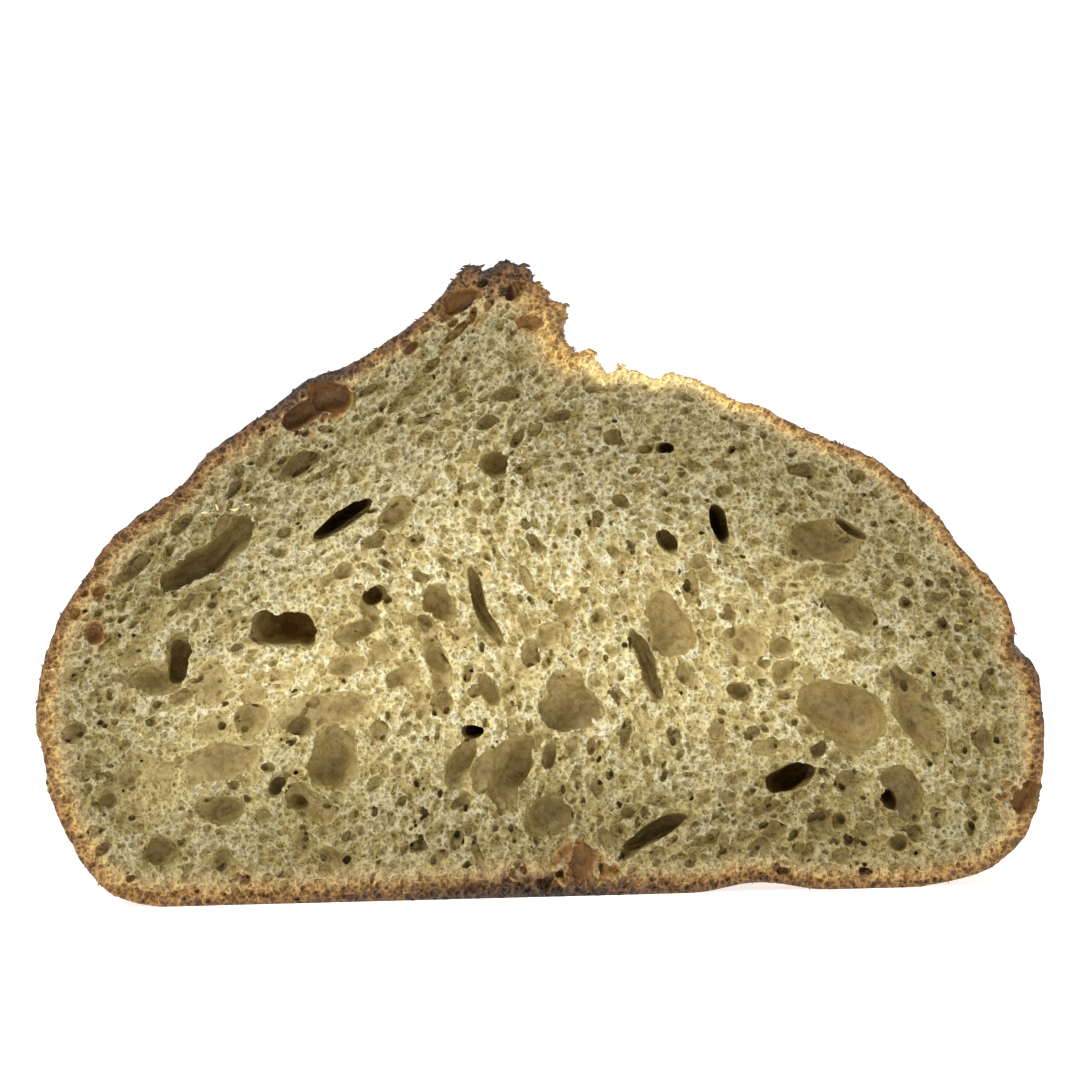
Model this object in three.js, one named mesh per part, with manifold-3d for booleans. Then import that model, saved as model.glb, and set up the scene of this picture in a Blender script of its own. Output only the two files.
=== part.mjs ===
// Half of a crusty country loaf, cut across its middle and standing on its flat base.
// Units are millimetres. +Z is up, the cut face looks along -Y, and the rounded end is at +Y.
// The loaf is one solid: a hand-shaped dome with one long score, whose left lip rose into a sharp ear
// and whose right side opened into a wide bloom. The gas pockets of the crumb open in the cut face.
import * as THREE from "three";
import { mergeVertices } from "three/addons/utils/BufferGeometryUtils.js";
import Module from "manifold-3d";

const DEGREE = Math.PI / 180;

// Driving sizes.
const HALF_LENGTH = 112; // from the cut face to the rounded end
const WAIST_HEIGHT = 36; // where the side walls are widest
const DOME_HALF_WIDTH = 100; // of the plain dome that the section turns into towards the end
const DOME_RISE = 70; // of that dome above the waist
const DOME_POWER = 2.15; // roundness of that dome, 2 is an ellipse
const PLAN_POWER = 2.3; // roundness of the end seen from above
const CROWN_POWER = 2.6; // roundness of the end seen from the side
const FLAT_BASE_SHARE = 0.8; // share of the half length that lies flat on its base

// The outline below was measured on a picture that leans a little, so it is turned level.
const LEVEL_TURN = 1.5 * DEGREE;
const BASE_DROP = 1.35;

// Crust of the cut face, from the left foot over the ear to the right foot, as [x, z].
const LEFT_SKIN = [
  [-82, 0.4], [-88, 3.5], [-94, 12], [-98.5, 23], [-99.4, 29], [-101, 36], [-100, 46],
  [-96, 58], [-91, 65.6], [-86, 73], [-80, 78], [-72, 83.6], [-66.5, 90], [-60, 95],
  [-52, 100.6], [-45, 105.8], [-39, 107.2], [-30, 113], [-22, 120], [-17, 125.3],
];
const EAR = [
  [-13.5, 127.6], [-10, 126.4], [-7, 128.4], [-3, 127.4], [-0.8, 123.6],
  [5, 120], [2.4, 117.2], [4.2, 113], [6.4, 110.2],
];
const BLOOM = [
  [10.8, 110.5], [12.6, 106.8], [18, 106.8], [25, 105.4], [33, 103.4], [37, 100.8],
  [48, 97.6], [60, 92], [70, 87], [78, 78], [86, 70.6], [92, 63.5], [96.4, 55.5],
];
const RIGHT_SKIN = [[98.8, 48.5], [100.2, 43], [101, 36], [100.4, 24], [97.6, 15.5], [91, 8.5], [83, 5.2]];
const SAMPLES_PER_STRETCH = 2;

// Underside of the cut face, with one shallow arch where the base sprang clear.
const FOOT_LEFT = -76;
const FOOT_RIGHT = 76;
const BASE_SAMPLES = 20;
const ARCH_MIDDLE = 44;
const ARCH_HALF_WIDTH = 14;
const ARCH_RISE = 1.8;
const ARCH_REACH = 0.3; // share of the half length over which the arch dies out

// The ear and the edge of the bloom die out towards the end of the score, between these shares of
// the half length.
const SCORE_FADE = [0.3, 0.95];

// The hand-shaped dome is uneven by this much, away from the cut and the base. Each wave has so many
// radians for each radian round the dome, and so many from the cut to the rounded end.
const LUMP_HEIGHT = 1.4;
const LUMP_WAVES = [[3.1, 5], [5.3, -7], [2, 9]];
const LUMP_FADE = [0.05, 0.4];
const LUMP_RIM = 0.3; // radians above the waist

const LENGTH_ROWS = 22;

// Largest gas pockets in the cut face: middle x and z, half length, half width, lean of the length
// in degrees, and depth behind the face.
const POCKETS = [
  // Left flank
  [-79, 23, 9.6, 7.8, 0, 6], [-66, 28, 9.4, 4.8, 20, 5.5], [-75.5, 10.6, 6.4, 4.8, -20, 5],
  [-64.3, 18, 4.8, 3.1, -14, 6], [-64.4, 9, 2.8, 2.5, 0, 5], [-78, 45.6, 6, 3.8, 10, 6],
  [-72.8, 50, 5.2, 2.8, 75, 11], [-66, 45, 5, 3.6, 60, 4], [-66.4, 36, 5.2, 2.8, 15, 4.5],
  [-58, 37.4, 3.3, 2.8, -40, 6], [-44, 38.4, 11.5, 4.2, 8, 4.5], [-41, 29.3, 5.3, 4.5, 80, 8],
  [-46, 20, 5, 3.6, -52, 4.5], [-82, 50.6, 5.2, 2, 38, 3.5], [-66, 70.6, 11, 3.5, 34, 9],
  [-81.4, 67.4, 5, 1.9, 42, 5], [-51, 54.8, 6.4, 3.9, 8, 16], [-40, 77.2, 7.2, 1.9, 35, 18],
  [-37.4, 54.8, 4.4, 2.4, 25, 5], [-34, 61.9, 2.4, 2.2, 60, 12],
  // Under the crust and the ear
  [-44.4, 100.3, 7.2, 3, 28, 9], [-16, 119.6, 4, 2.4, 25, 5], [-5.6, 122.3, 2.3, 1.6, 80, 5],
  [-3.8, 109.6, 3.1, 2.3, 0, 4.5], [-17, 114, 4.4, 1, 38, 4],
  // Middle
  [-9.3, 88.4, 3.3, 2.8, 0, 5.5], [-29.5, 78, 4.8, 2.5, 35, 5.5], [-20.7, 59.6, 5, 3, -30, 5],
  [-11.2, 59.5, 8.2, 1.5, -66, 8], [-21.3, 49.4, 5.2, 2.7, -60, 5.5], [25, 72.9, 2.7, 1.7, -65, 9],
  [25.8, 54.6, 6.6, 4.3, 84, 7], [21.2, 47.6, 8, 1.6, -72, 8], [5.8, 38.8, 6.2, 4.9, 60, 7],
  [-14.8, 28, 6.2, 2.8, 68, 6], [-12.8, 34.6, 2.5, 1.5, 0, 18], [-6.2, 25.4, 8, 3.9, 72, 7],
  [2, 28.4, 3, 1.7, 80, 6], [1.6, 16.8, 4.6, 3.3, 30, 6], [22.5, 14.4, 8.6, 2, 32, 9],
  [8, 8.6, 4.2, 2.4, 85, 4],
  // Right flank
  [35.4, 76.2, 4.3, 1.8, -72, 18], [36.6, 82.6, 2.3, 1.7, -10, 6], [56, 73.4, 8.8, 4.8, 4, 7],
  [62.4, 58.6, 6.8, 2.9, -32, 7], [47, 57.4, 3.5, 1.9, 15, 4], [40.4, 52, 4.6, 3.5, 0, 3.5],
  [48.4, 51.4, 3.2, 2.5, -20, 5], [49.6, 46, 3.3, 2.3, 60, 6], [40.3, 43, 3, 1.9, -20, 7],
  [61, 38, 7.8, 5.6, -40, 5.5], [75, 38.4, 8.8, 3.8, -62, 4.5], [51, 25.2, 4.7, 3, 15, 17],
  [63, 23.5, 3.3, 2.6, -30, 4], [72.6, 22.3, 5.5, 3.3, -58, 7], [89.5, 32.8, 3.9, 2, -60, 5],
  [97, 21, 4, 2.2, 82, 5], [56.6, 16.2, 3.2, 3, 0, 3.5],
];
const POCKET_SIDES = 10;
const POCKET_RINGS = 6;
const MOUTH_SHARE = 0.25; // a pocket's middle lies this share of its depth behind the face

const CRUST_COLOUR = 0xb07a3c;
const CRUST_ROUGHNESS = 0.75;

const wasm = await Module();
wasm.setup();

function smoothstep(from, to, value) {
  const share = Math.min(1, Math.max(0, (value - from) / (to - from)));
  return share * share * (3 - 2 * share);
}

// A length that falls from 1 at 0 to 0 at 1, as the quarter of a rounded square.
function roundOff(share, power) {
  return (1 - Math.min(1, share) ** power) ** (1 / power);
}

// A measured point of the leaning picture, in the level frame of the loaf.
function levelled([x, z]) {
  return [
    x * Math.cos(LEVEL_TURN) + z * Math.sin(LEVEL_TURN),
    z * Math.cos(LEVEL_TURN) - x * Math.sin(LEVEL_TURN) - BASE_DROP,
  ];
}

function archHeight(x) {
  const share = (x - ARCH_MIDDLE) / ARCH_HALF_WIDTH;
  return Math.abs(share) < 1 ? ARCH_RISE * Math.cos((share * Math.PI) / 2) ** 2 : 0;
}

// Outline of the cut face, running once round it: over the crust and back along the base.
function cutOutline() {
  const corners = [...LEFT_SKIN, ...EAR, ...BLOOM, ...RIGHT_SKIN].map(levelled);
  const crust = new THREE.CatmullRomCurve3(
    [[FOOT_LEFT, 0], ...corners, [FOOT_RIGHT, 0]].map(([x, z]) => new THREE.Vector3(x, z, 0)),
    false,
    "centripetal",
  );
  const points = crust
    .getPoints((corners.length + 1) * SAMPLES_PER_STRETCH)
    .map((point) => new THREE.Vector2(point.x, Math.max(0, point.y)));
  for (let i = 1; i < BASE_SAMPLES; i += 1) {
    const x = FOOT_RIGHT + ((FOOT_LEFT - FOOT_RIGHT) * i) / BASE_SAMPLES;
    points.push(new THREE.Vector2(x, archHeight(x)));
  }
  return points;
}

function plainDome(angle) {
  const across = Math.abs(Math.cos(angle) / DOME_HALF_WIDTH) ** DOME_POWER;
  const upward = Math.abs(Math.sin(angle) / DOME_RISE) ** DOME_POWER;
  return (across + upward) ** (-1 / DOME_POWER);
}

function lump(angle, share) {
  const waves = LUMP_WAVES.map(([round, along]) => Math.sin(round * angle + along * share));
  const rim = smoothstep(0, LUMP_RIM, angle) * smoothstep(0, LUMP_RIM, Math.PI - angle);
  const mean = waves.reduce((sum, wave) => sum + wave) / waves.length;
  return LUMP_HEIGHT * mean * rim * smoothstep(...LUMP_FADE, share);
}

// A point of the crust: x and z are on the cut outline, and share is the way towards the rounded end.
function crustPoint(x, z, share) {
  const widthScale = roundOff(share, PLAN_POWER);
  const along = HALF_LENGTH * share - HALF_LENGTH / 2;
  if (z <= WAIST_HEIGHT) {
    const endShare = Math.max(0, (share - FLAT_BASE_SHARE) / (1 - FLAT_BASE_SHARE));
    const liftScale = roundOff(endShare, 2);
    const onBase = Math.abs(x) < FOOT_RIGHT && z <= ARCH_RISE;
    const low = onBase ? z * (1 - smoothstep(0, ARCH_REACH, share)) : z;
    return new THREE.Vector3(x * widthScale, along, WAIST_HEIGHT - (WAIST_HEIGHT - low) * liftScale);
  }
  const angle = Math.atan2(z - WAIST_HEIGHT, x);
  const measured = Math.hypot(x, z - WAIST_HEIGHT);
  const faded = THREE.MathUtils.lerp(measured, plainDome(angle), smoothstep(...SCORE_FADE, share));
  const radius = faded + lump(angle, share);
  return new THREE.Vector3(
    radius * Math.cos(angle) * widthScale,
    along,
    WAIST_HEIGHT + radius * Math.sin(angle) * roundOff(share, CROWN_POWER),
  );
}

// A closed geometry as a manifold-3d solid, with its vertices merged and its flat triangles dropped.
function solidFrom(geometry, mirrored = false) {
  const bare = new THREE.BufferGeometry().setAttribute("position", geometry.getAttribute("position"));
  if (geometry.index) bare.setIndex(geometry.index);
  const merged = mergeVertices(bare, 1e-4);
  const corners = merged.index.array;
  const kept = [];
  for (let i = 0; i < corners.length; i += 3) {
    const [a, b, c] = corners.slice(i, i + 3);
    if (a !== b && b !== c && c !== a) kept.push(...(mirrored ? [a, c, b] : [a, b, c]));
  }
  return new wasm.Manifold(
    new wasm.Mesh({
      numProp: 3,
      vertProperties: new Float32Array(merged.getAttribute("position").array),
      triVerts: new Uint32Array(kept),
    }),
  );
}

// The uncut outline drawn out towards the rounded end, where its last ring closes to a point.
function loafBody() {
  const prism = new THREE.ExtrudeGeometry(new THREE.Shape(cutOutline()), {
    depth: 1,
    steps: LENGTH_ROWS,
    bevelEnabled: false,
  });
  const place = prism.getAttribute("position");
  for (let i = 0; i < place.count; i += 1) {
    const share = Math.sin((place.getZ(i) * Math.PI) / 2);
    const point = crustPoint(place.getX(i), place.getY(i), place.getZ(i) > 0.999 ? 1 : share);
    place.setXYZ(i, point.x, point.y, point.z);
  }
  return solidFrom(prism, true);
}

function pocket([x, z, halfLength, halfWidth, lean, depth]) {
  const [levelX, levelZ] = levelled([x, z]);
  const reach = depth / (1 + MOUTH_SHARE);
  const ball = new THREE.SphereGeometry(1, POCKET_SIDES, POCKET_RINGS);
  ball.scale(halfLength, reach, halfWidth);
  ball.rotateY(-lean * DEGREE + LEVEL_TURN);
  ball.translate(levelX, -HALF_LENGTH / 2 + reach * MOUTH_SHARE, levelZ);
  return solidFrom(ball);
}

function bufferGeometry(solid) {
  const mesh = solid.getMesh();
  const geometry = new THREE.BufferGeometry();
  geometry.setAttribute("position", new THREE.BufferAttribute(mesh.vertProperties, mesh.numProp));
  geometry.setIndex(new THREE.BufferAttribute(mesh.triVerts, 1));
  geometry.computeVertexNormals();
  return geometry;
}

const pockets = POCKETS.map(pocket).reduce((all, next) => all.add(next));
const loaf = new THREE.Mesh(
  bufferGeometry(loafBody().subtract(pockets)),
  new THREE.MeshStandardMaterial({ color: CRUST_COLOUR, roughness: CRUST_ROUGHNESS, metalness: 0 }),
);
loaf.name = "loaf";

// The origin is under the middle of the loaf's box, on the surface that it stands on.
loaf.geometry.computeBoundingBox();
const box = loaf.geometry.boundingBox;
loaf.position.set(-(box.min.x + box.max.x) / 2, -(box.min.y + box.max.y) / 2, -box.min.z);

const half_loaf = new THREE.Group();
half_loaf.add(loaf);
export default half_loaf;
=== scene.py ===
"""Half of a country loaf: its open crumb, its crust with a torn bloom and a charred ear, and a studio."""

import math

import bmesh
import bpy
import numpy as np
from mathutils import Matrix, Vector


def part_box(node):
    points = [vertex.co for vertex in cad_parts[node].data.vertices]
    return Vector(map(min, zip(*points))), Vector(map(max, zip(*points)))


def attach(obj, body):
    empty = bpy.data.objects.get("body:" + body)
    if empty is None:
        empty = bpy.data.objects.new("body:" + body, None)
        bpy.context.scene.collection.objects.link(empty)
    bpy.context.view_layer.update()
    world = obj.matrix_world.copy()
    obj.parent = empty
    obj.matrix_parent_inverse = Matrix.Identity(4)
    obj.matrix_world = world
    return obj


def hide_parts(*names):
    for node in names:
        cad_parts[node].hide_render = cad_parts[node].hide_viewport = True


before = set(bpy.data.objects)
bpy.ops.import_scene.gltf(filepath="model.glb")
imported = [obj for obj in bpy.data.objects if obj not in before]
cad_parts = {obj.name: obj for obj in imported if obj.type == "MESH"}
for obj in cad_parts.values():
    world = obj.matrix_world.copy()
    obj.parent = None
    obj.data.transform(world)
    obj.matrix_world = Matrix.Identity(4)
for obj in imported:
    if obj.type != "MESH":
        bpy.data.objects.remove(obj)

import openvdb
from mathutils import Matrix, Vector

bl_info = {
    "name": "Half Country Loaf",
    "version": (1, 0, 0),
    "blender": (4, 5, 0),
    "location": "3D View > Sidebar > Loaf",
    "description": "Half of a country loaf with an open crumb, a torn bloom and an ear",
    "category": "Object",
}

# The CAD loaf's box gives the place of the cut face and of the rounded end. Shapes are worked out in
# millimetres in its frame, and their meshes are then brought to metres.
LOW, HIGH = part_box("loaf")
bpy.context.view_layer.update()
MM = 0.001
CUT_Y = LOW.y / MM
HALF_LENGTH = (HIGH.y - LOW.y) / MM

# Main sizes of the loaf in millimetres, the same as its solid's.
WAIST_HEIGHT = 36.0
DOME_HALF_WIDTH = 100.0
DOME_RISE = 70.0
DOME_POWER = 2.15
PLAN_POWER = 2.3
CROWN_POWER = 2.6
FLAT_BASE_SHARE = 0.8
FOOT_HALF_WIDTH = 76.0
ARCH_MIDDLE = 44.0
ARCH_HALF_WIDTH = 14.0
ARCH_RISE = 1.8
ARCH_REACH = 0.3
SCORE_FADE = (0.3, 0.95)

# The outline and the pockets were measured on a picture that leans a little, so they are turned level.
LEVEL_TURN = math.radians(1.5)
BASE_DROP = 1.35

# Crust of the cut face from the left foot over the ear to the right foot, as (x, z).
SKIN_OUTLINE = [
    (-82, 0.4), (-88, 3.5), (-94, 12), (-98.5, 23), (-99.4, 29), (-101, 36), (-100, 46),
    (-96, 58), (-91, 65.6), (-86, 73), (-80, 78), (-72, 83.6), (-66.5, 90), (-60, 95),
    (-52, 100.6), (-46, 105.3), (-39, 107.6), (-30, 113), (-24, 117.6), (-20, 121.7), (-18, 124.2),
    (-15.5, 127), (-13, 127.9), (-10.5, 126.2), (-7.5, 128.6), (-5, 128.2), (-2, 126.6), (-1.3, 124.6),
    (1.8, 122.8), (1, 120.8), (5.4, 120.1), (3, 117.5), (3.7, 115), (5, 112.5), (6, 110.9),
    (7.4, 110.1), (10.9, 110.4), (11.9, 109), (13.2, 106.5), (17, 107.3), (20, 106.3), (23.2, 105.1),
    (26, 106), (31, 104.8), (35, 103.1), (40, 100.5), (44, 99.8), (50, 96.5), (60, 92.2), (65, 90.2),
    (70, 87), (75, 82.4), (80, 77.4), (84, 71.7), (90, 65.4), (93.5, 60.4), (94.9, 56), (95.4, 50.4),
    (98.2, 49), (99.8, 45.5), (100.6, 40), (101.1, 34.5), (100.5, 24), (98, 15), (91, 7.6), (84, 5),
]

# Browning of the skin round the cut face, from 0 for pale to 1 for charred, as (angle in degrees,
# browning). The angle is seen from the middle of the waist, and goes from the right over the ear.
BROWNING = [
    (-90, 0.96), (-45, 0.72), (-15, 0.61), (6, 0.75), (9, 0.64), (30, 0.66), (50, 0.53), (60, 0.25),
    (68, -0.02), (78, 0.08), (82, 0.38), (86, 0.48), (88.5, 0.64), (91, 0.85), (97, 0.87), (100, 0.76),
    (114, 0.78), (119, 0.98), (127, 0.94), (132, 0.8), (150, 0.74), (165, 0.67), (180, 0.58),
    (200, 0.59), (225, 0.76), (270, 0.96),
]
# Thickness of the browned crust round the cut face, as (angle in degrees, millimetres).
THICKNESS = [
    (-90, 5), (-45, 3.6), (-15, 3.2), (4, 3.4), (10, 2), (40, 2.4), (62, 2.2), (77, 2.2), (81, 4.4),
    (87, 5), (91, 5.4), (96, 5), (104, 2.6), (130, 3.4), (160, 3.2), (200, 4), (230, 4.2), (270, 5),
]
# Pockets baked through to brown, as (x, z, radius in millimetres, browning).
TOASTED = [
    (-42.4, 101.7, 4.8, 0.66), (-48, 98.4, 5.4, 0.68), (-16, 119.8, 5.2, 0.56), (-2.3, 117, 3.6, 0.46),
    (8, 7.5, 5.5, 0.6), (96.8, 21, 5, 0.52), (-88, 63.3, 2.4, 0.5), (-89.3, 54.3, 2.5, 0.6),
    (-87.5, 69.5, 2.4, 0.5), (-93, 58.5, 2, 0.5), (90.2, 60.2, 2.4, 0.56),
    (-26, 111.7, 2.4, 0.64), (-8, 122.3, 3, 0.8), (65.7, 6.2, 2, 0.7), (48.5, 7, 2, 0.7),
    (-60, 4, 2.4, 0.64), (-4.6, 6.6, 2.2, 0.7), (13.7, 6.7, 2.8, 0.46),
]
EAR_FOOT_ANGLE = 83.0
SKIN_EDGE_ANGLE = 7.0
SCORE_END = 0.9

# Largest gas pockets in the cut face: middle x and z, half length, half width, lean of the length in
# degrees, and depth behind the face. The rows above the first remark are the solid's, with a few set anew.
POCKETS = [
    (-79, 23, 9.6, 7.8, 0, 6), (-66, 28, 9.4, 4.8, 20, 5.5), (-75.5, 10.6, 6.4, 4.8, -20, 5),
    (-64.3, 18, 4.8, 3.1, -14, 6), (-64.4, 9, 2.8, 2.5, 0, 5), (-78, 45.6, 6, 3.8, 10, 6),
    (-72.8, 50, 5.2, 2.8, 75, 11), (-66, 45, 5, 3.6, 60, 4), (-66.4, 36, 5.2, 2.8, 15, 4.5),
    (-58, 37.4, 3.3, 2.8, -40, 6), (-44, 38.4, 11.5, 4.2, 8, 4.5), (-41, 29.3, 5.3, 4.5, 80, 8),
    (-46, 20, 5, 3.6, -52, 4.5), (-82, 50.6, 5.2, 2, 38, 3.5), (-66, 70.6, 11, 3.5, 34, 9),
    (-81.4, 67.4, 5, 1.9, 42, 5), (-51, 54.8, 6.4, 3.9, 8, 16), (-40, 77.2, 7.2, 1.9, 35, 18),
    (-37.4, 54.8, 4.4, 2.4, 25, 5), (-34, 61.9, 2.4, 2.2, 60, 12),
    (-42.4, 101.7, 4.3, 3, 28, 6.5), (-47.6, 98.4, 5.8, 2.2, 34, 5.5), (-16, 119.6, 4, 2.4, 25, 5),
    (-5.6, 122.3, 2.3, 1.6, 80, 5), (-3.8, 109.6, 3.1, 2.3, 0, 4.5), (-17, 114, 4.4, 1, 38, 4),
    (-9.3, 88.4, 3.3, 2.8, 0, 5.5), (-29.5, 78, 4.8, 2.5, 35, 5.5), (-20.7, 59.6, 5, 3, -30, 5),
    (-11.2, 59.5, 8.2, 1.5, -66, 8), (-21.3, 49.4, 5.2, 2.7, -60, 5.5), (25, 72.9, 2.7, 1.7, -65, 9),
    (25.8, 54.6, 6.6, 4.3, 84, 7), (21.2, 47.6, 8, 1.6, -72, 8), (5.8, 38.8, 6.2, 4.9, 60, 7),
    (-14.8, 28, 6.2, 2.8, 68, 6), (-12.8, 34.6, 2.5, 1.5, 0, 18), (-6.2, 25.4, 8, 3.9, 72, 7),
    (2, 28.4, 3, 1.7, 80, 6), (1.6, 16.8, 4.6, 3.3, 30, 6), (22.5, 14.4, 8.6, 2, 32, 9),
    (8, 8.6, 4.2, 2.4, 85, 4),
    (35.4, 76.2, 4.3, 1.8, -72, 18), (36.6, 82.6, 2.3, 1.7, -10, 6), (56, 73.4, 8.8, 4.8, 4, 7),
    (62.4, 58.6, 6.8, 2.9, -32, 7), (47, 57.4, 3.5, 1.9, 15, 4), (40.4, 52, 4.6, 3.5, 0, 3.5),
    (48.4, 51.4, 3.2, 2.5, -20, 5), (49.6, 46, 3.3, 2.3, 60, 6), (40.3, 43, 3, 1.9, -20, 7),
    (61, 38, 8.2, 6.2, -40, 7), (75, 38.4, 10, 5, -62, 6.5), (51, 25.2, 4.7, 3, 15, 17),
    (63, 23.5, 3.3, 2.6, -30, 4), (72.6, 22.3, 5.5, 3.3, -58, 7), (89.5, 32.8, 3.9, 2, -60, 5),
    (97, 21, 4, 2.2, 82, 5), (56.6, 16.2, 3.2, 3, 0, 3.5),
    # Smaller ones of the left flank
    (-48, 20, 2, 1.5, 0, 8), (-36, 20, 4, 2.2, -70, 4), (-48.5, 11, 3.5, 2, 80, 4),
    (-42, 9.5, 3.4, 1.9, -45, 4), (-39, 48, 4, 2, 5, 4), (-55.5, 16, 2.2, 1.6, 30, 4),
    (-49, 26.5, 2.6, 1.4, 0, 4), (-55, 27, 1.8, 1.3, 0, 3), (-61.5, 23, 1.6, 1.2, 0, 4),
    (-84.5, 45, 1.8, 1.2, 0, 3), (-98.3, 39, 1.1, 0.7, 80, 2), (-96.5, 37, 1, 0.7, 80, 2),
    (-91.3, 23, 1.5, 1, 60, 3), (-88.5, 29.5, 1.6, 1, 60, 3), (-88, 11, 1.6, 1.1, 50, 3),
    (-88, 63.3, 1.6, 1.4, 40, 3), (-89.3, 54.3, 2.2, 1.8, 60, 4.5), (-87.5, 69.5, 2, 1, 45, 2.5),
    (-93, 58.5, 1.5, 1, 60, 2.5), (-48.5, 88, 4.4, 2.1, 28, 4.5), (-43, 86.5, 7.6, 0.8, 26, 4),
    (-52.5, 66.8, 1.8, 1.3, 20, 3), (-40, 66.5, 2, 1.4, 20, 4), (-51.5, 73.7, 2, 1.3, 30, 4),
    (-48.5, 76.5, 1.8, 1, 35, 3), (-61.3, 57, 2.4, 1.6, 20, 4), (-56.5, 62, 3, 1.5, 30, 3),
    (-76, 57, 5, 2.4, 30, 3), (-70, 60.5, 3.4, 1.6, 30, 4), (-59, 83, 3.4, 1.4, 35, 3),
    (-72, 76, 2.8, 1.1, 35, 3), (-36.5, 15, 1.8, 1.2, 20, 3), (-52, 45.5, 2.6, 1.5, 0, 4),
    # Under the top crust
    (-34, 95, 4, 1.7, 45, 4), (-26, 102.5, 5.8, 2, 36, 3.5), (-6, 102.3, 3.4, 1.5, 15, 4),
    (-34, 104, 2.6, 1, 32, 3), (-22, 108, 2.6, 1.2, 36, 3.5), (-10.5, 96.7, 2.4, 1.3, 20, 4),
    (-22.5, 93, 2.2, 1.4, 30, 4), (-18, 87, 2.2, 1.1, -80, 4), (-1.5, 86, 2, 1.4, 80, 4),
    (-2.3, 117, 2.5, 1.4, 10, 4), (-12, 123.7, 1.4, 0.9, 30, 3), (-26, 111.7, 2, 0.9, 38, 3),
    (12, 102.8, 3.2, 0.7, 5, 4), (-54.3, 92.3, 2.2, 1.2, 40, 3), (-39, 93, 2.4, 1.2, 38, 3),
    (4, 98, 2.6, 1.2, 5, 3.5), (-16, 104, 2.6, 1.2, 35, 3),
    # Smaller ones of the middle
    (-33.5, 73, 2.5, 1.5, 20, 4), (-26, 72.5, 2, 1.6, 60, 5), (-31, 68, 2.3, 0.9, -35, 4),
    (-0.5, 72, 2.8, 1.4, -60, 5), (4.8, 76, 2.5, 1.2, 80, 4), (10.3, 75, 2.3, 1, 85, 5),
    (12, 77.8, 1.8, 1.4, 70, 5), (10.5, 67.5, 5, 1, -62, 5), (16.5, 69, 2, 1.2, -60, 4),
    (31.8, 68, 2, 1.3, -70, 5), (33.7, 71.3, 1.5, 0.6, 85, 5), (31.2, 60.5, 1.8, 0.7, 85, 5),
    (12, 57, 2.5, 1.4, 80, 4), (3.5, 54.5, 2.5, 1.4, 75, 4), (-1.2, 56.5, 1.7, 1.2, 60, 4),
    (-26.7, 56.5, 1.8, 1.3, 0, 4), (25.3, 91.2, 1.9, 1.1, 0, 7), (14.7, 94, 1.8, 1.6, 0, 4),
    (21.3, 91, 1.5, 1, 0, 4), (31, 87.5, 2, 1.2, -20, 4), (-5.8, 43.5, 2.4, 1.5, 20, 4),
    (-13, 42.5, 1.8, 1.4, 60, 4), (-28.5, 44.5, 2.5, 1.8, 10, 4), (-32, 34, 2.5, 2, 0, 4),
    (-23, 38.5, 2.2, 1.6, 60, 4), (17, 34, 4, 1.5, 85, 4), (11.7, 29.5, 3.8, 1.5, 85, 3),
    (-22.7, 24, 2.8, 1.2, 80, 5), (-27.5, 24, 2.5, 1, -55, 4), (-24.5, 11.5, 2.2, 1.7, 0, 4),
    (-15.5, 20.6, 2.3, 1.4, 80, 4), (-12.2, 9.5, 3.8, 0.9, -70, 5), (-16.8, 12.7, 1.6, 1, 0, 4),
    (-9, 12.5, 1.4, 1, 0, 4), (-5.7, 6.7, 0.9, 0.8, 0, 4), (-3.5, 7, 0.9, 0.8, 0, 4),
    (3.5, 6, 1.2, 1.1, 0, 3), (13.7, 6.7, 2, 1.4, 0, 3), (17.5, 18.5, 1.8, 1.5, 0, 4),
    (31, 26.5, 2.2, 0.7, 0, 5), (27.8, 33.3, 1.8, 1.2, 80, 4), (31, 43, 1.8, 1.3, 80, 4),
    (36, 34.5, 3.8, 1.6, 80, 4), (42.5, 38, 1.8, 1.4, 80, 5), (2, 48, 2.4, 1.3, 70, 4),
    (-3, 65, 3, 1.2, -66, 4), (17, 81, 2.2, 1.2, -30, 4), (-14, 76, 2.6, 1.4, 50, 4),
    (-8, 80.5, 2, 1.2, 40, 4), (-19, 68, 2.4, 1.2, -45, 4), (9, 49, 2, 1.2, -70, 4),
    # Smaller ones of the right flank
    (40, 91.7, 2.8, 0.9, -5, 5), (43, 88.2, 2.4, 0.8, -10, 5), (47.5, 93, 1.8, 0.8, -15, 3),
    (40.5, 95.3, 1.6, 0.8, -15, 3), (53.5, 86.5, 3, 1.5, -20, 3.5), (57.3, 83.8, 1.8, 1, -25, 4),
    (47, 82.3, 1.8, 1.1, 0, 5), (48.3, 79.5, 2, 1, 25, 4), (64.5, 85.8, 1.8, 0.9, -30, 3),
    (62.5, 75.5, 3.8, 0.8, -40, 7), (58.5, 67.2, 3.2, 1.8, 0, 5), (47.5, 62, 2.3, 1.8, 0, 5),
    (63.5, 50.5, 3.5, 1.3, 5, 5), (74, 65, 1.7, 1.4, -40, 4), (78.3, 62, 1.7, 1.3, -40, 4),
    (73, 60.5, 1.6, 1.3, -40, 4), (81, 64.5, 1.6, 1.2, -40, 4), (69, 64.5, 1.7, 1.3, -40, 4),
    (81.2, 55.7, 1.2, 0.9, 80, 6), (85.5, 66.5, 1.8, 0.8, -60, 3), (75.5, 68.5, 1.8, 1.1, -40, 3),
    (70, 52, 2.2, 1.6, -30, 4), (88, 50.4, 1.5, 1.1, -60, 3), (45.5, 18.5, 4, 1.3, 25, 6),
    (69, 45, 2.8, 1.6, 80, 4), (55.3, 42.5, 2.4, 1.7, 60, 5), (60.3, 16.5, 2, 1.6, 80, 4),
    (72.3, 12.7, 2.2, 2, 0, 4), (92.5, 34, 3.2, 1.6, 85, 3), (85, 32, 2.5, 1.8, 80, 4),
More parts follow.
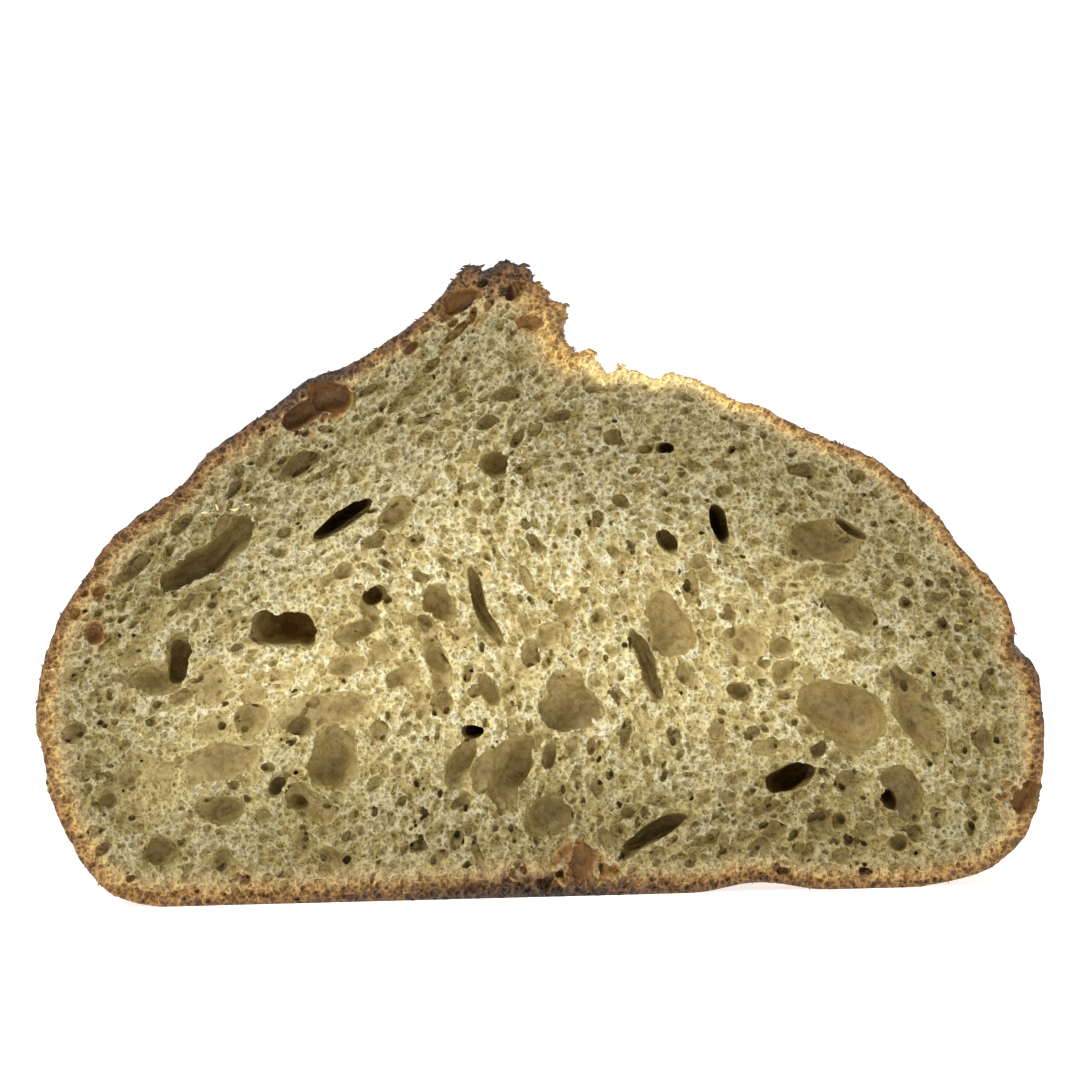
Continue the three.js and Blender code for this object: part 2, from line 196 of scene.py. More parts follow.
    (89.3, 44.5, 2.5, 1.2, 80, 6), (61, 9.8, 1.9, 1.2, 10, 3), (37.3, 10, 2.3, 1.5, 20, 3),
    (65.7, 6.2, 1.4, 0.8, 0, 3), (48.5, 7, 1.4, 0.8, 0, 3), (52, 11.3, 1.7, 1.1, 0, 4),
    (46.8, 13.8, 1.7, 1, 10, 4), (88.5, 22.7, 1.8, 1.1, -60, 3), (82.5, 22.8, 1.6, 1.1, -60, 4),
    (81.5, 18, 3.5, 1.4, -60, 3), (56, 31, 2, 1.4, 60, 4), (46, 32, 2.2, 1.4, 80, 4),
    (80, 45, 2.4, 1.3, -60, 4), (84, 40, 2, 1.3, -60, 4), (70.6, 21, 2, 1.8, 80, 13),
]
# A pocket's middle lies this share of its depth behind the face.
MOUTH_SHARE = 0.25
# Pockets at least this deep are shafts, and the others are bowls no deeper than their width times a share
# and a little more.
SHAFT_LEAST = 7.0
BOWL_SHARE = 1.4
BOWL_MORE = 0.8
# Pockets whose half width is more than this have rooms beside their middle, with walls so uneven.
LOBE_LEAST = 2.3
LOBE_STRENGTH = 1.2
# Small gas cells on jittered lattices, as (spacing, size and depth behind the cut in millimetres, chance in
# the first row, chance behind it, least distance to the outside of the crust).
SMALL_CELLS = (
    (4.2, 1.4, 6.0, 0.45, 0.04, 4.0),
    (1.9, 0.94, 6.0, 0.96, 0.03, 1.0),
    (1.0, 0.53, 4.0, 0.97, 0.1, 0.3),
)

# Scraps of torn crust along the cut, as (first and last angle in degrees, how many, size in millimetres,
# added browning).
FLAKES = [
    (77, 90, 90, 0.7, 0.14), (62, 78, 60, 0.7, 0.2), (90, 99, 40, 0.8, 0.0), (20, 62, 60, 0.55, 0.06),
    (99, 150, 60, 0.5, 0.0), (150, 215, 60, 0.5, 0.0), (-40, 12, 36, 0.5, 0.0), (-85, -60, 44, 0.6, 0.1),
    (232, 262, 40, 0.6, 0.1),
]
# Single crumbs that lie on the cut, as (x, z, size in millimetres, browning).
LOOSE_CRUMBS = [
    (-67, 78.5, 1.1, -0.2), (-64.5, 79.5, 0.9, -0.2), (-61, 79, 1.2, -0.2), (-58.5, 80, 0.8, -0.2),
    (84.2, 56.3, 0.8, 0.22), (-3.5, 90.7, 0.7, 0.16), (19, 86, 0.7, 0.16), (12, 96.3, 0.7, 0.2),
    (-97.5, 47, 0.7, -0.2), (-80, 34, 0.6, 0.0), (-66, 10, 0.6, 0.2), (70, 30, 0.5, 0.1), (2, 74, 0.6, 0.0),
]

# Grain of the crumb, as (x, z, lean in degrees, stretch): how the small cells lie and how long they are.
GRAIN = [
    (-78, 25, 10, 1.2), (-62, 62, 32, 1.8), (-36, 86, 36, 1.9), (-14, 108, 40, 1.8), (-22, 60, -50, 1.5),
    (0, 62, -66, 1.7), (4, 30, 78, 1.7), (-28, 25, 68, 1.3), (25, 52, -72, 1.6), (24, 90, -10, 1.6),
    (50, 82, -24, 1.6), (76, 62, -42, 1.5), (60, 35, -30, 1.1), (86, 30, -66, 1.3), (40, 14, 25, 1.4),
    (-60, 10, 0, 1.2),
]


def turned_level(x, z):
    """Measured places, turned level and brought down to the floor."""
    level_x = x * math.cos(LEVEL_TURN) + z * math.sin(LEVEL_TURN)
    level_z = z * math.cos(LEVEL_TURN) - x * math.sin(LEVEL_TURN) - BASE_DROP
    return level_x, level_z


def levelled(x, z):
    """Measured places, turned level and centred on the loaf's box."""
    level_x, level_z = turned_level(x, z)
    return level_x - CENTRE_SHIFT, level_z


# The random lattice of the noise: its cells to a side, and what brings the smoothed noise to unit height.
LATTICE_SIZE = 48
LATTICE_GAIN = 1.6


def smoothstep(start, end, value):
    share = np.clip((value - start) / (end - start), 0.0, 1.0)
    return share * share * (3.0 - 2.0 * share)


def round_off(share, power):
    """A length that falls from 1 at 0 to 0 at 1, as the quarter of a rounded square."""
    return (1.0 - np.clip(share, 0.0, 1.0) ** power) ** (1.0 / power)


def spline(corners, steps):
    """A smooth open line through the corners, whose loops stay tight where the corners are close."""
    line = np.array(corners, float)
    line = np.vstack([2 * line[0] - line[1], line, 2 * line[-1] - line[-2]])
    knots = np.concatenate([[0], np.cumsum(np.linalg.norm(np.diff(line, axis=0), axis=1) ** 0.5)])
    points = []
    for i in range(1, len(line) - 2):
        t0, t1, t2, t3 = knots[i - 1:i + 3]
        t = np.linspace(t1, t2, steps, endpoint=False)[:, None]
        a1 = (t1 - t) / (t1 - t0) * line[i - 1] + (t - t0) / (t1 - t0) * line[i]
        a2 = (t2 - t) / (t2 - t1) * line[i] + (t - t1) / (t2 - t1) * line[i + 1]
        a3 = (t3 - t) / (t3 - t2) * line[i + 1] + (t - t2) / (t3 - t2) * line[i + 2]
        b1 = (t2 - t) / (t2 - t0) * a1 + (t - t0) / (t2 - t0) * a2
        b2 = (t3 - t) / (t3 - t1) * a2 + (t - t1) / (t3 - t1) * a3
        points.append((t2 - t) / (t2 - t1) * b1 + (t - t1) / (t2 - t1) * b2)
    return np.vstack(points + [line[-2:-1]])


def lattice_noise(points, wavelength, seed):
    """Smooth noise of about unit height at any points, from a random lattice that repeats far away."""
    size = LATTICE_SIZE
    table = np.random.default_rng(seed).normal(size=(size, size, size)).astype(np.float32)
    place = np.asarray(points, np.float32) / wavelength
    whole = np.floor(place).astype(int)
    share = place - whole
    share = share * share * (3.0 - 2.0 * share)
    total = 0.0
    for corner in range(8):
        bits = [(corner >> axis) & 1 for axis in range(3)]
        weight = 1.0
        for axis in range(3):
            weight = weight * (share[..., axis] if bits[axis] else 1.0 - share[..., axis])
        index = [(whole[..., axis] + bits[axis]) % size for axis in range(3)]
        total = total + weight * table[index[0], index[1], index[2]]
    return total * LATTICE_GAIN


def arch_height(x):
    share = (x - ARCH_MIDDLE) / ARCH_HALF_WIDTH
    return np.where(np.abs(share) < 1, ARCH_RISE * np.cos(share * math.pi / 2) ** 2, 0.0)


def cut_outline(spacing):
    """The outline of the cut face as evenly spaced points, from the left foot over the crust and back
    along the base, before the loaf is centred."""
    level = [turned_level(x, z) for x, z in SKIN_OUTLINE]
    crust = spline([(-FOOT_HALF_WIDTH, 0.0)] + level + [(FOOT_HALF_WIDTH, 0.0)], 16)
    crust[:, 1] = np.maximum(crust[:, 1], 0.0)
    base_x = np.linspace(FOOT_HALF_WIDTH, -FOOT_HALF_WIDTH, 153)[1:]
    line = np.vstack([crust, np.column_stack([base_x, arch_height(base_x)])])
    reach = np.concatenate([[0], np.cumsum(np.linalg.norm(np.diff(line, axis=0), axis=1))])
    along = np.linspace(0, reach[-1], int(round(reach[-1] / spacing)) + 1)[:-1]
    return np.column_stack([np.interp(along, reach, line[:, 0]), np.interp(along, reach, line[:, 1])])


PLAIN_OUTLINE = cut_outline(0.25)
CENTRE_SHIFT = (PLAIN_OUTLINE[:, 0].min() + PLAIN_OUTLINE[:, 0].max()) / 2


def flaky_outline(spacing):
    """The cut outline with the small flakes and nicks of a sawn crust, as it is seen."""
    line = cut_outline(spacing)
    flat = np.column_stack([line, np.zeros(len(line))])
    ragged = 0.2 * lattice_noise(flat, 1.6, 11) + 0.16 * lattice_noise(flat, 0.8, 12)
    torn = smoothstep(100, 108, line[:, 1]) * smoothstep(-20, 0, line[:, 0])
    along = np.roll(line, -1, axis=0) - np.roll(line, 1, axis=0)
    normal = np.column_stack([-along[:, 1], along[:, 0]])
    normal /= np.linalg.norm(normal, axis=1)[:, None]
    lift = smoothstep(0.5, 4.0, line[:, 1])
    line += normal * (ragged * (0.35 + 0.65 * torn) * lift)[:, None]
    line[:, 1] = np.maximum(line[:, 1], 0.0)
    return line


def dome_angle(x, z):
    """Angle in degrees from the middle of the waist, from -90 under the loaf to 270."""
    angle = np.degrees(np.arctan2(z - WAIST_HEIGHT, x))
    return np.where(angle < -90.0, angle + 360.0, angle)


def plain_dome(angle):
    across = np.abs(np.cos(angle) / DOME_HALF_WIDTH) ** DOME_POWER
    upward = np.abs(np.sin(angle) / DOME_RISE) ** DOME_POWER
    return (across + upward) ** (-1.0 / DOME_POWER)


def at_angle(table, angle):
    """Browning or thickness of the crust at an angle of the cut face."""
    stops = np.array(table, float)
    return np.interp(angle, stops[:, 0], stops[:, 1])


def toasting_at(x, z):
    """Browning of the pockets that are baked through, at places of the cut face."""
    toasted = np.zeros(len(x))
    for spot_x, spot_z, radius, browning in TOASTED:
        spot_x, spot_z = levelled(spot_x, spot_z)
        near = 1.0 - smoothstep(0.8, 1.15, np.hypot(x - spot_x, z - spot_z) / radius)
        toasted = np.maximum(toasted, browning * near)
    return toasted


def outline_distance(x, z, outline):
    """Distance in millimetres to the outline, more than 0 inside it, with the nearest place's angle."""
    step = np.roll(outline, -1, axis=0) - outline
    length2 = (step ** 2).sum(axis=1)
    nearest = np.full(x.shape, 1e9, np.float32)
    inside = np.zeros(x.shape, bool)
    where_x = np.zeros(x.shape, np.float32)
    where_z = np.zeros(x.shape, np.float32)
    for (x0, z0), (dx, dz), size in zip(outline, step, length2):
        share = np.clip(((x - x0) * dx + (z - z0) * dz) / size, 0.0, 1.0)
        near_x = x0 + share * dx
        near_z = z0 + share * dz
        gap = (x - near_x) ** 2 + (z - near_z) ** 2
        closer = gap < nearest
        nearest[closer] = gap[closer]
        where_x[closer] = near_x[closer]
        where_z[closer] = near_z[closer]
        if dz != 0:
            crosses = ((z0 > z) != (z0 + dz > z)) & (x < x0 + (z - z0) * dx / dz)
            inside ^= crosses
    distance = np.sqrt(nearest)
    return np.where(inside, distance, -distance), dome_angle(where_x, where_z)


def grain_at(x, z):
    """Lean in radians and stretch of the small cells at places of the cut face."""
    flow = np.array(GRAIN, float)
    place_x, place_z = levelled(flow[:, 0], flow[:, 1])
    weight = 1.0 / (np.hypot(x[:, None] - place_x, z[:, None] - place_z) + 4.0) ** 3
    weight /= weight.sum(axis=1)[:, None]
    double = np.radians(2.0 * flow[:, 2]) + 2.0 * LEVEL_TURN
    lean = 0.5 * np.arctan2(weight @ np.sin(double), weight @ np.cos(double))
    return lean, weight @ flow[:, 3]


def upsampled(coarse, counts, steps):
    """A coarse random box read smoothly at every voxel of a fine one, one axis at a time."""
    fine = coarse
    for axis in range(3):
        place = np.arange(counts[axis]) / steps[axis]
        whole = np.floor(place).astype(int)
        t = place - whole
        weights = np.zeros((counts[axis], fine.shape[0]), np.float32)
        rows = np.arange(counts[axis])
        for offset, value in enumerate((
            (1 - t) ** 3 / 6, (3 * t ** 3 - 6 * t ** 2 + 4) / 6,
            (-3 * t ** 3 + 3 * t ** 2 + 3 * t + 1) / 6, t ** 3 / 6,
        )):
            weights[rows, whole + offset] += value
        fine = np.tensordot(fine, weights, axes=([0], [1]))
    return fine


# The crumb's side is drawn in under the crust from this depth behind the cut, by this much for each
# millimetre of depth, and by this many millimetres at most.
TUCK_START = 0.7
TUCK_SLOPE = 0.3
TUCK_MOST = 5.0


def tuck_of_crumb(behind):
    """How far the crumb's side is drawn in under the crust, at a depth behind the cut."""
    return np.clip((behind - TUCK_START) * TUCK_SLOPE, 0.0, TUCK_MOST)


# Spread of a random box of unit spread once it is read smoothly.
SMOOTHED_SPREAD = 0.33


class CrumbBlock:
    """A box of voxels behind the cut face, which holds the distance into the dough in millimetres."""

    def __init__(self, voxel, depth, outline, low, high):
        self.voxel = voxel
        self.depth = depth
        self.low = np.array(low)
        self.counts = np.ceil((np.array(high) - self.low) / voxel).astype(int) + 1
        axes = [self.low[i] + voxel * np.arange(self.counts[i]) for i in range(3)]
        self.axes = [a.astype(np.float32) for a in axes]
        self.rng = np.random.default_rng(7)
        self.edge, self.edge_angle = self.face_map(outline)

    def noise(self, wavelength):
        steps = np.full(3, wavelength / self.voxel)
        size = np.ceil(self.counts / steps).astype(int) + 4
        box = upsampled(self.rng.normal(size=size).astype(np.float32), self.counts, steps)
        return box / SMOOTHED_SPREAD

    def face_map(self, outline):
        """Distance to the outline for each column of voxels, worked out on every other column."""
        coarse_x, coarse_z = np.meshgrid(self.axes[0][::2], self.axes[2][::2], indexing="ij")
        distance, angle = outline_distance(coarse_x, coarse_z, outline)
        fine = []
        for values in (distance, angle):
            rows = np.array([
                np.interp(self.axes[0], self.axes[0][::2], values[:, j]) for j in range(values.shape[1])
            ])
            fine.append(np.array([
                np.interp(self.axes[2], self.axes[2][::2], rows[:, i]) for i in range(rows.shape[1])
            ]).astype(np.float32))
        return fine

    def fill(self):
        """Dough inside the outline and behind a slightly torn cut, drawn in behind the crust."""
        behind = self.axes[1] - CUT_Y
        side = self.edge[:, None, :] - tuck_of_crumb(behind)[None, :, None].astype(np.float32)
        self.face = self.face_relief()
        self.field = np.minimum(side, behind[None, :, None] - self.face[:, None, :]).astype(np.float32)
        back = (self.depth - behind).astype(np.float32)
        np.minimum(self.field, back[None, :, None], out=self.field)
        self.warp = [self.noise(7.5) * 0.65 + self.noise(2.6) * 0.28 for _ in range(3)]

    def face_relief(self):
        """How far the cut lies back or stands proud, in millimetres, for each column of voxels."""
        x, z = np.meshgrid(self.axes[0], self.axes[2], indexing="ij")
        flat = np.stack([x, z, np.zeros_like(x)], axis=-1)
        rough = 0.3 * lattice_noise(flat, 7.0, 21) + 0.2 * lattice_noise(flat, 2.6, 22)
        return ((rough + 0.35) * smoothstep(0.3, 3.5, self.edge)).astype(np.float32)

    def index(self, place):
        return np.clip(np.round((place - self.low) / self.voxel).astype(int), 0, self.counts - 1)

    def sample(self, places):
        i, j, k = self.index(places).T
        return self.field[i, j, k]

    def carve(self, x, y, z, length, width, deep, lean, strength=1.0):
        """Takes one egg-shaped gas cell out of the dough."""
        margin = 0.45 + 1.1 * strength
        reach = max(length, width) + margin
        low = self.index(np.array([x - reach, y - deep - margin, z - reach]))
        high = self.index(np.array([x + reach, y + deep + margin, z + reach])) + 1
        part = tuple(slice(low[i], high[i]) for i in range(3))
        dx = (self.axes[0][part[0]] - x)[:, None, None]
        dy = (self.axes[1][part[1]] - y)[None, :, None]
        dz = (self.axes[2][part[2]] - z)[None, None, :]
        if strength > 0:
            dx = dx + strength * self.warp[0][part]
            dy = dy + strength * self.warp[1][part]
            dz = dz + strength * self.warp[2][part]
        u = (dx * math.cos(lean) + dz * math.sin(lean)) / length
        v = (dz * math.cos(lean) - dx * math.sin(lean)) / width
        w = dy / deep
        gap = (np.sqrt(u * u + v * v + w * w) - 1.0) * min(length, width, deep)
        np.minimum(self.field[part], gap, out=self.field[part])

    def carve_pockets(self):
        for x, z, length, width, lean, depth in POCKETS:
            level_x, level_z = levelled(x, z)
            reach = depth / (1.0 + MOUTH_SHARE)
            if depth < SHAFT_LEAST:
                reach = min(reach, BOWL_SHARE * width + BOWL_MORE)
            lean = math.radians(lean) - LEVEL_TURN
            strength = min(1.7, 0.2 + 0.3 * min(length, width))
            middle = CUT_Y + reach * MOUTH_SHARE
            self.carve(level_x, middle, level_z, length, width, reach, lean, strength)
            if width > LOBE_LEAST:
                self.carve_lobes(level_x, level_z, length, width, reach, lean)

    def carve_lobes(self, x, z, length, width, reach, lean):
        """Widens one large pocket by smaller rooms beside its middle, so that it is no plain egg."""
        for side in (-1.0, 1.0):
            size = self.rng.uniform(0.55, 0.75)
            along = side * self.rng.uniform(0.3, 0.62) * length
            across = self.rng.uniform(-0.5, 0.5) * width
            place_x = x + along * math.cos(lean) - across * math.sin(lean)
            place_z = z + along * math.sin(lean) + across * math.cos(lean)
            turn = lean + self.rng.uniform(-0.7, 0.7)
            deep = reach * size
            room = max(width, 0.6 * length) * size
            middle = CUT_Y + deep * MOUTH_SHARE
            self.carve(place_x, middle, place_z, room, width * size, deep, turn, LOBE_STRENGTH)

    def scatter(self, spacing, size, depth, chance, inner_chance, edge_gap):
        """Gas cells of one size on a jittered lattice: the first row opens in the cut, and the rows behind
        it open where they meet the wall of a pocket."""
        across, up = np.ceil(self.counts[[0, 2]] * self.voxel / spacing).astype(int)
        rows = 1 + int(depth / spacing)
        grid = np.indices((across, rows, up)).reshape(3, -1).T.astype(float)
        first = grid[:, 1] == 0
        grid[:, 2] += 0.5 * (grid[:, 0] % 2)
        places = self.low + (grid + self.rng.uniform(-0.38, 0.38, grid.shape)) * spacing
        keep = self.rng.uniform(size=len(places)) < np.where(first, chance, inner_chance)
        grid, places, first = grid[keep], places[keep], first[keep]
        sizes = size * self.rng.lognormal(0.0, 0.26, len(places))
        i, _, k = self.index(places).T
        edge = self.edge[i, k]
        sizes *= 0.7 + 0.3 * smoothstep(edge_gap, edge_gap + 6.0, edge)
        sizes *= 1.1 - 0.24 * smoothstep(45.0, 95.0, places[:, 2])
        sunk = np.where(first, self.rng.uniform(-0.15, 0.5, len(places)) * sizes, 0.0)
        places[:, 1] = CUT_Y + self.face[i, k] + grid[:, 1] * spacing + sunk
        held = self.sample(places)
        opened = (edge > edge_gap + sizes) & (held < 0.7 * sizes) & (held > -0.4 * sizes)
        places, sizes = places[opened], sizes[opened]
        lean, stretch = grain_at(places[:, 0], places[:, 2])
        lean += self.rng.normal(0.0, 0.35, len(places))
        stretch = 1.0 + (stretch - 1.0) * self.rng.uniform(0.3, 2.2, len(places))
        deep = self.rng.uniform(0.85, 1.35, len(places))
        strength = float(np.clip((size - 0.6) * 0.8, 0.0, 0.7))
        for place, radius, turn, long, down in zip(places, sizes, lean, stretch, deep):
            length = radius * math.sqrt(long)
            width = radius / math.sqrt(long)
            self.carve(*place, length, width, radius * down, turn, strength)

    def roughen(self):
        """Fine lumps on every torn wall, none on the outside."""
        calm = smoothstep(0.2, 2.0, self.edge)[:, None, :].astype(np.float32)
        self.field += 0.05 * self.noise(1.5) * calm

    def surface(self):
        """The dough's surface as points in millimetres with quads of their indices."""
        self.field[[0, -1]] = -1.0
        self.field[:, [0, -1]] = -1.0
        self.field[:, :, [0, -1]] = -1.0
        grid = openvdb.FloatGrid(1.0)
        grid.copyFromArray(np.ascontiguousarray(-self.field))
        points, _, quads = grid.convertToPolygons(0.0, 0.0)
        return points * self.voxel + self.low, quads.astype(np.int64)

    def face_values(self, points, values):
        """Reads a map of the cut face at points, between its columns."""
        u = np.clip((points[:, 0] - self.low[0]) / self.voxel, 0, self.counts[0] - 1.001)
        v = np.clip((points[:, 2] - self.low[2]) / self.voxel, 0, self.counts[2] - 1.001)
        i, k = u.astype(int), v.astype(int)
        s, t = u - i, v - k
        left = values[i, k] * (1 - t) + values[i, k + 1] * t
        right = values[i + 1, k] * (1 - t) + values[i + 1, k + 1] * t
        return left * (1 - s) + right * s


def largest_body(points, quads):
    """Keeps the dough's outer surface, and drops shut bubbles and loose scraps."""
    label = np.arange(len(points))
    a = quads[:, [0, 1, 2, 3]].ravel()
    b = quads[:, [1, 2, 3, 0]].ravel()
    while True:
        lower = np.minimum(label[a], label[b])
        new = label.copy()
        np.minimum.at(new, a, lower)
        np.minimum.at(new, b, lower)
        new = new[new]
        if np.array_equal(new, label):
            break
        label = new
    names, sizes = np.unique(label[quads[:, 0]], return_counts=True)
    kept = quads[label[quads[:, 0]] == names[sizes.argmax()]]
    used = np.unique(kept)
    renumber = np.zeros(len(points), np.int64)
    renumber[used] = np.arange(len(used))
    return points[used], renumber[kept]


def shade_smooth(mesh):
    mesh.polygons.foreach_set("use_smooth", np.ones(len(mesh.polygons), bool))


def mesh_from(name, points, faces):
    """A mesh in metres from points in millimetres and faces of one number of corners."""
    mesh = bpy.data.meshes.new(name)
    corners = faces.shape[1]
    mesh.vertices.add(len(points))
    mesh.vertices.foreach_set("co", (points * MM).astype(np.float32).ravel())
    mesh.loops.add(faces.size)
    mesh.loops.foreach_set("vertex_index", faces.astype(np.int32).ravel())
    mesh.polygons.add(len(faces))
    mesh.polygons.foreach_set("loop_start", np.arange(0, faces.size, corners, dtype=np.int32))
    shade_smooth(mesh)
    mesh.update(calc_edges=True)
    return mesh


def read(items, key, kind, width=1):
    """One value of each item of a mesh, or a row of so many values."""
    values = np.empty(len(items) * width, kind)
    items.foreach_get(key, values)
    return values if width == 1 else values.reshape(-1, width)


def vertex_places(mesh):
    """A mesh's points in millimetres."""
    return read(mesh.vertices, "co", np.float32, 3).astype(float) / MM


def triangle_corners(mesh):
    mesh.calc_loop_triangles()
    return read(mesh.loop_triangles, "vertices", np.int32, 3)


def store(mesh, name, values):
    """Keeps one number for each point of a mesh, for its material to read."""
    layer = mesh.attributes.new(name, "FLOAT", "POINT")
    layer.data.foreach_set("value", np.asarray(values, np.float32))


def new_object(name, data):
    """An object of its data, linked into the scene."""
    made = bpy.data.objects.new(name, data)
    bpy.context.scene.collection.objects.link(made)
    return made


def thinned(mesh, triangles):
    """The same surface with fewer triangles, most of them where it bends."""
    whole = new_object("whole", mesh)
    modifier = whole.modifiers.new("Thin", "DECIMATE")
    modifier.ratio = triangles / len(triangle_corners(mesh))
    modifier.use_collapse_triangulate = True
    ready = whole.evaluated_get(bpy.context.evaluated_depsgraph_get())
    thin = bpy.data.meshes.new_from_object(ready)
    bpy.data.objects.remove(whole)
    return thin


def add_piece(name, mesh, material):
    """Puts a finished mesh in the scene as a piece of the loaf."""
    piece = new_object(name, mesh)
    piece.data.materials.clear()
    piece.data.materials.append(material)
    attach(piece, "root")
    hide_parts("loaf")
    return piece


# Strips of the map for baked textures, each as (start, width): across it what shows and what is hidden,
# and up it everything.
MAP_SEEN = (0.002, 0.956)
MAP_HIDDEN = (0.965, 0.03)
MAP_HEIGHT = (0.002, 0.996)


def planar_map(mesh, points, hidden):
    """A map for baked textures: what opens to the cut lies flat in it, and faces that nothing shows in
    a narrow strip beside it."""
    layer = mesh.uv_layers.new(name="OFBake")
    corner = read(mesh.loops, "vertex_index", np.int32)
    start = read(mesh.polygons, "loop_start", np.int32)
    total = read(mesh.polygons, "loop_total", np.int32)
    sawn = np.abs(read(mesh.polygons, "normal", np.float32, 3)[:, 2]) > 0.99999
    unseen = np.repeat(np.add.reduceat(hidden[corner], start) == total, total) | np.repeat(sawn, total)
    low, high = points.min(axis=0), points.max(axis=0)
    share = ((points - low) / (high - low))[corner]
    place, width = np.where(unseen, np.array(MAP_HIDDEN)[:, None], np.array(MAP_SEEN)[:, None])
    flat = np.column_stack([
        place + width * share[:, 0], MAP_HEIGHT[0] + MAP_HEIGHT[1] * share[:, 2]]).astype(np.float32)
    layer.data.foreach_set("uv", flat.ravel())


class Signal:
    """A node's output that takes part in arithmetic, each operation adding its Math node."""

    def __init__(self, recipe, socket):
        self.recipe = recipe
        self.socket = socket

    def math(self, operation, *inputs):
        return self.recipe.node("ShaderNodeMath", {"operation": operation}, dict(enumerate(inputs)))

    def __add__(self, other):
        return self.math("ADD", self, other)

    __radd__ = __add__

    def __mul__(self, other):
        return self.math("MULTIPLY", self, other)

    __rmul__ = __mul__

    def __sub__(self, other):
        return self.math("SUBTRACT", self, other)

    def __rsub__(self, other):
        return self.math("SUBTRACT", other, self)

    def between(self, low, high):
        """0 where this is below low, 1 above high, and smooth between."""
        return self.recipe.node(
            "ShaderNodeMapRange", {"interpolation_type": "SMOOTHSTEP"}, {0: self, 1: low, 2: high})


class Recipe:
    """The nodes of one material."""

    def __init__(self, name):
        self.material = bpy.data.materials.new(name)
        self.material.use_nodes = True
        self.tree = self.material.node_tree
        self.tree.nodes.clear()
        self.places = self.node("ShaderNodeTexCoord", {}, {}, "Object")

    def node(self, kind, settings, inputs, output=0):
        """Any node: its settings first, then the values or links of its sockets."""
        made = self.tree.nodes.new(kind)
        for key, value in settings.items():
            if key == "stops":
                ramp = made.color_ramp
                while len(ramp.elements) < len(value):
                    ramp.elements.new(0.5)
                for element, (place, colour) in zip(ramp.elements, value):
                    element.position = place
                    element.color = (*colour, 1.0)
            else:
                setattr(made, key, value)
        for key, value in inputs.items():
            if isinstance(value, Signal):
                self.tree.links.new(value.socket, made.inputs[key])
            else:
                made.inputs[key].default_value = value
        return Signal(self, made.outputs[output])

    def attribute(self, name):
        return self.node("ShaderNodeAttribute", {"attribute_name": name}, {}, "Fac")

    def noise(self, wavelength, detail=2.0, roughness=0.5, output="Fac"):
        """Noise in 3D whose lumps are about so many millimetres across."""
        inputs = {
            "Vector": self.places, "Scale": 1.0 / (wavelength * MM), "Detail": detail, "Roughness": roughness}
        return self.node("ShaderNodeTexNoise", {"noise_dimensions": "3D"}, inputs, output)

    def pits(self, wavelength, places):
        """1 in the middles of scattered round pits of mixed sizes, 0 between them."""
        cells = self.node(
            "ShaderNodeTexVoronoi", {"voronoi_dimensions": "2D"},
            {"Vector": places, "Scale": 1.0 / (wavelength * MM)}, "Distance")
        each = Signal(self, cells.socket.node.outputs["Color"])
        return 1.0 - (cells + each * 0.4).between(0.16, 0.62)

    def on_the_cut(self, wavelength, reach):
        """Places across and up the cut, which waver by about so many millimetres."""
        wavering = self.node(
            "ShaderNodeVectorMath", {"operation": "MULTIPLY_ADD"},
            {0: self.noise(wavelength, 0.0, 0.5, "Color"), 1: (reach * MM,) * 3, 2: self.places})
        return self.node(
            "ShaderNodeMapping", {"vector_type": "POINT"},
            {"Vector": wavering, "Rotation": (-math.pi / 2, 0.0, 0.0)})

    def blend(self, first, second, factor, mode="MIX"):
        """One colour over another."""
        first, second = [each if isinstance(each, Signal) else (*each, 1.0) for each in (first, second)]
        return self.node(
            "ShaderNodeMix", {"data_type": "RGBA", "blend_type": mode}, {0: factor, 6: first, 7: second}, 2)

    def ramp(self, factor, stops):
        return self.node("ShaderNodeValToRGB", {"stops": stops}, {"Fac": factor})

    def finish(self, links, constants):
        """The shader at the end, with what varies linked and the rest set on its own sockets."""
        shader = self.tree.nodes.new("ShaderNodeBsdfPrincipled")
        for key, value in constants.items():
            shader.inputs[key].default_value = value
        for key, value in links.items():
            self.tree.links.new(value.socket, shader.inputs[key])
        output = self.tree.nodes.new("ShaderNodeOutputMaterial")
        self.tree.links.new(shader.outputs[0], output.inputs["Surface"])
        return self.material


def linear(red, green, blue):
    """A colour given in the 0 to 255 of a screen, as light."""
    return tuple(
        c / 12.92 if c <= 0.04045 else ((c + 0.055) / 1.055) ** 2.4
        for c in (red / 255, green / 255, blue / 255)
    )


WHITE = (1.0, 1.0, 1.0)
# Colours of the baked skin from pale to charred, which crust and cut edge share.
SKIN_STOPS = [
    (0.0, linear(248, 224, 154)), (0.16, linear(234, 197, 118)), (0.34, linear(197, 158, 95)),
    (0.5, linear(162, 123, 71)), (0.66, linear(124, 89, 52)), (0.82, linear(88, 67, 50)),
    (1.0, linear(62, 54, 50)),
]


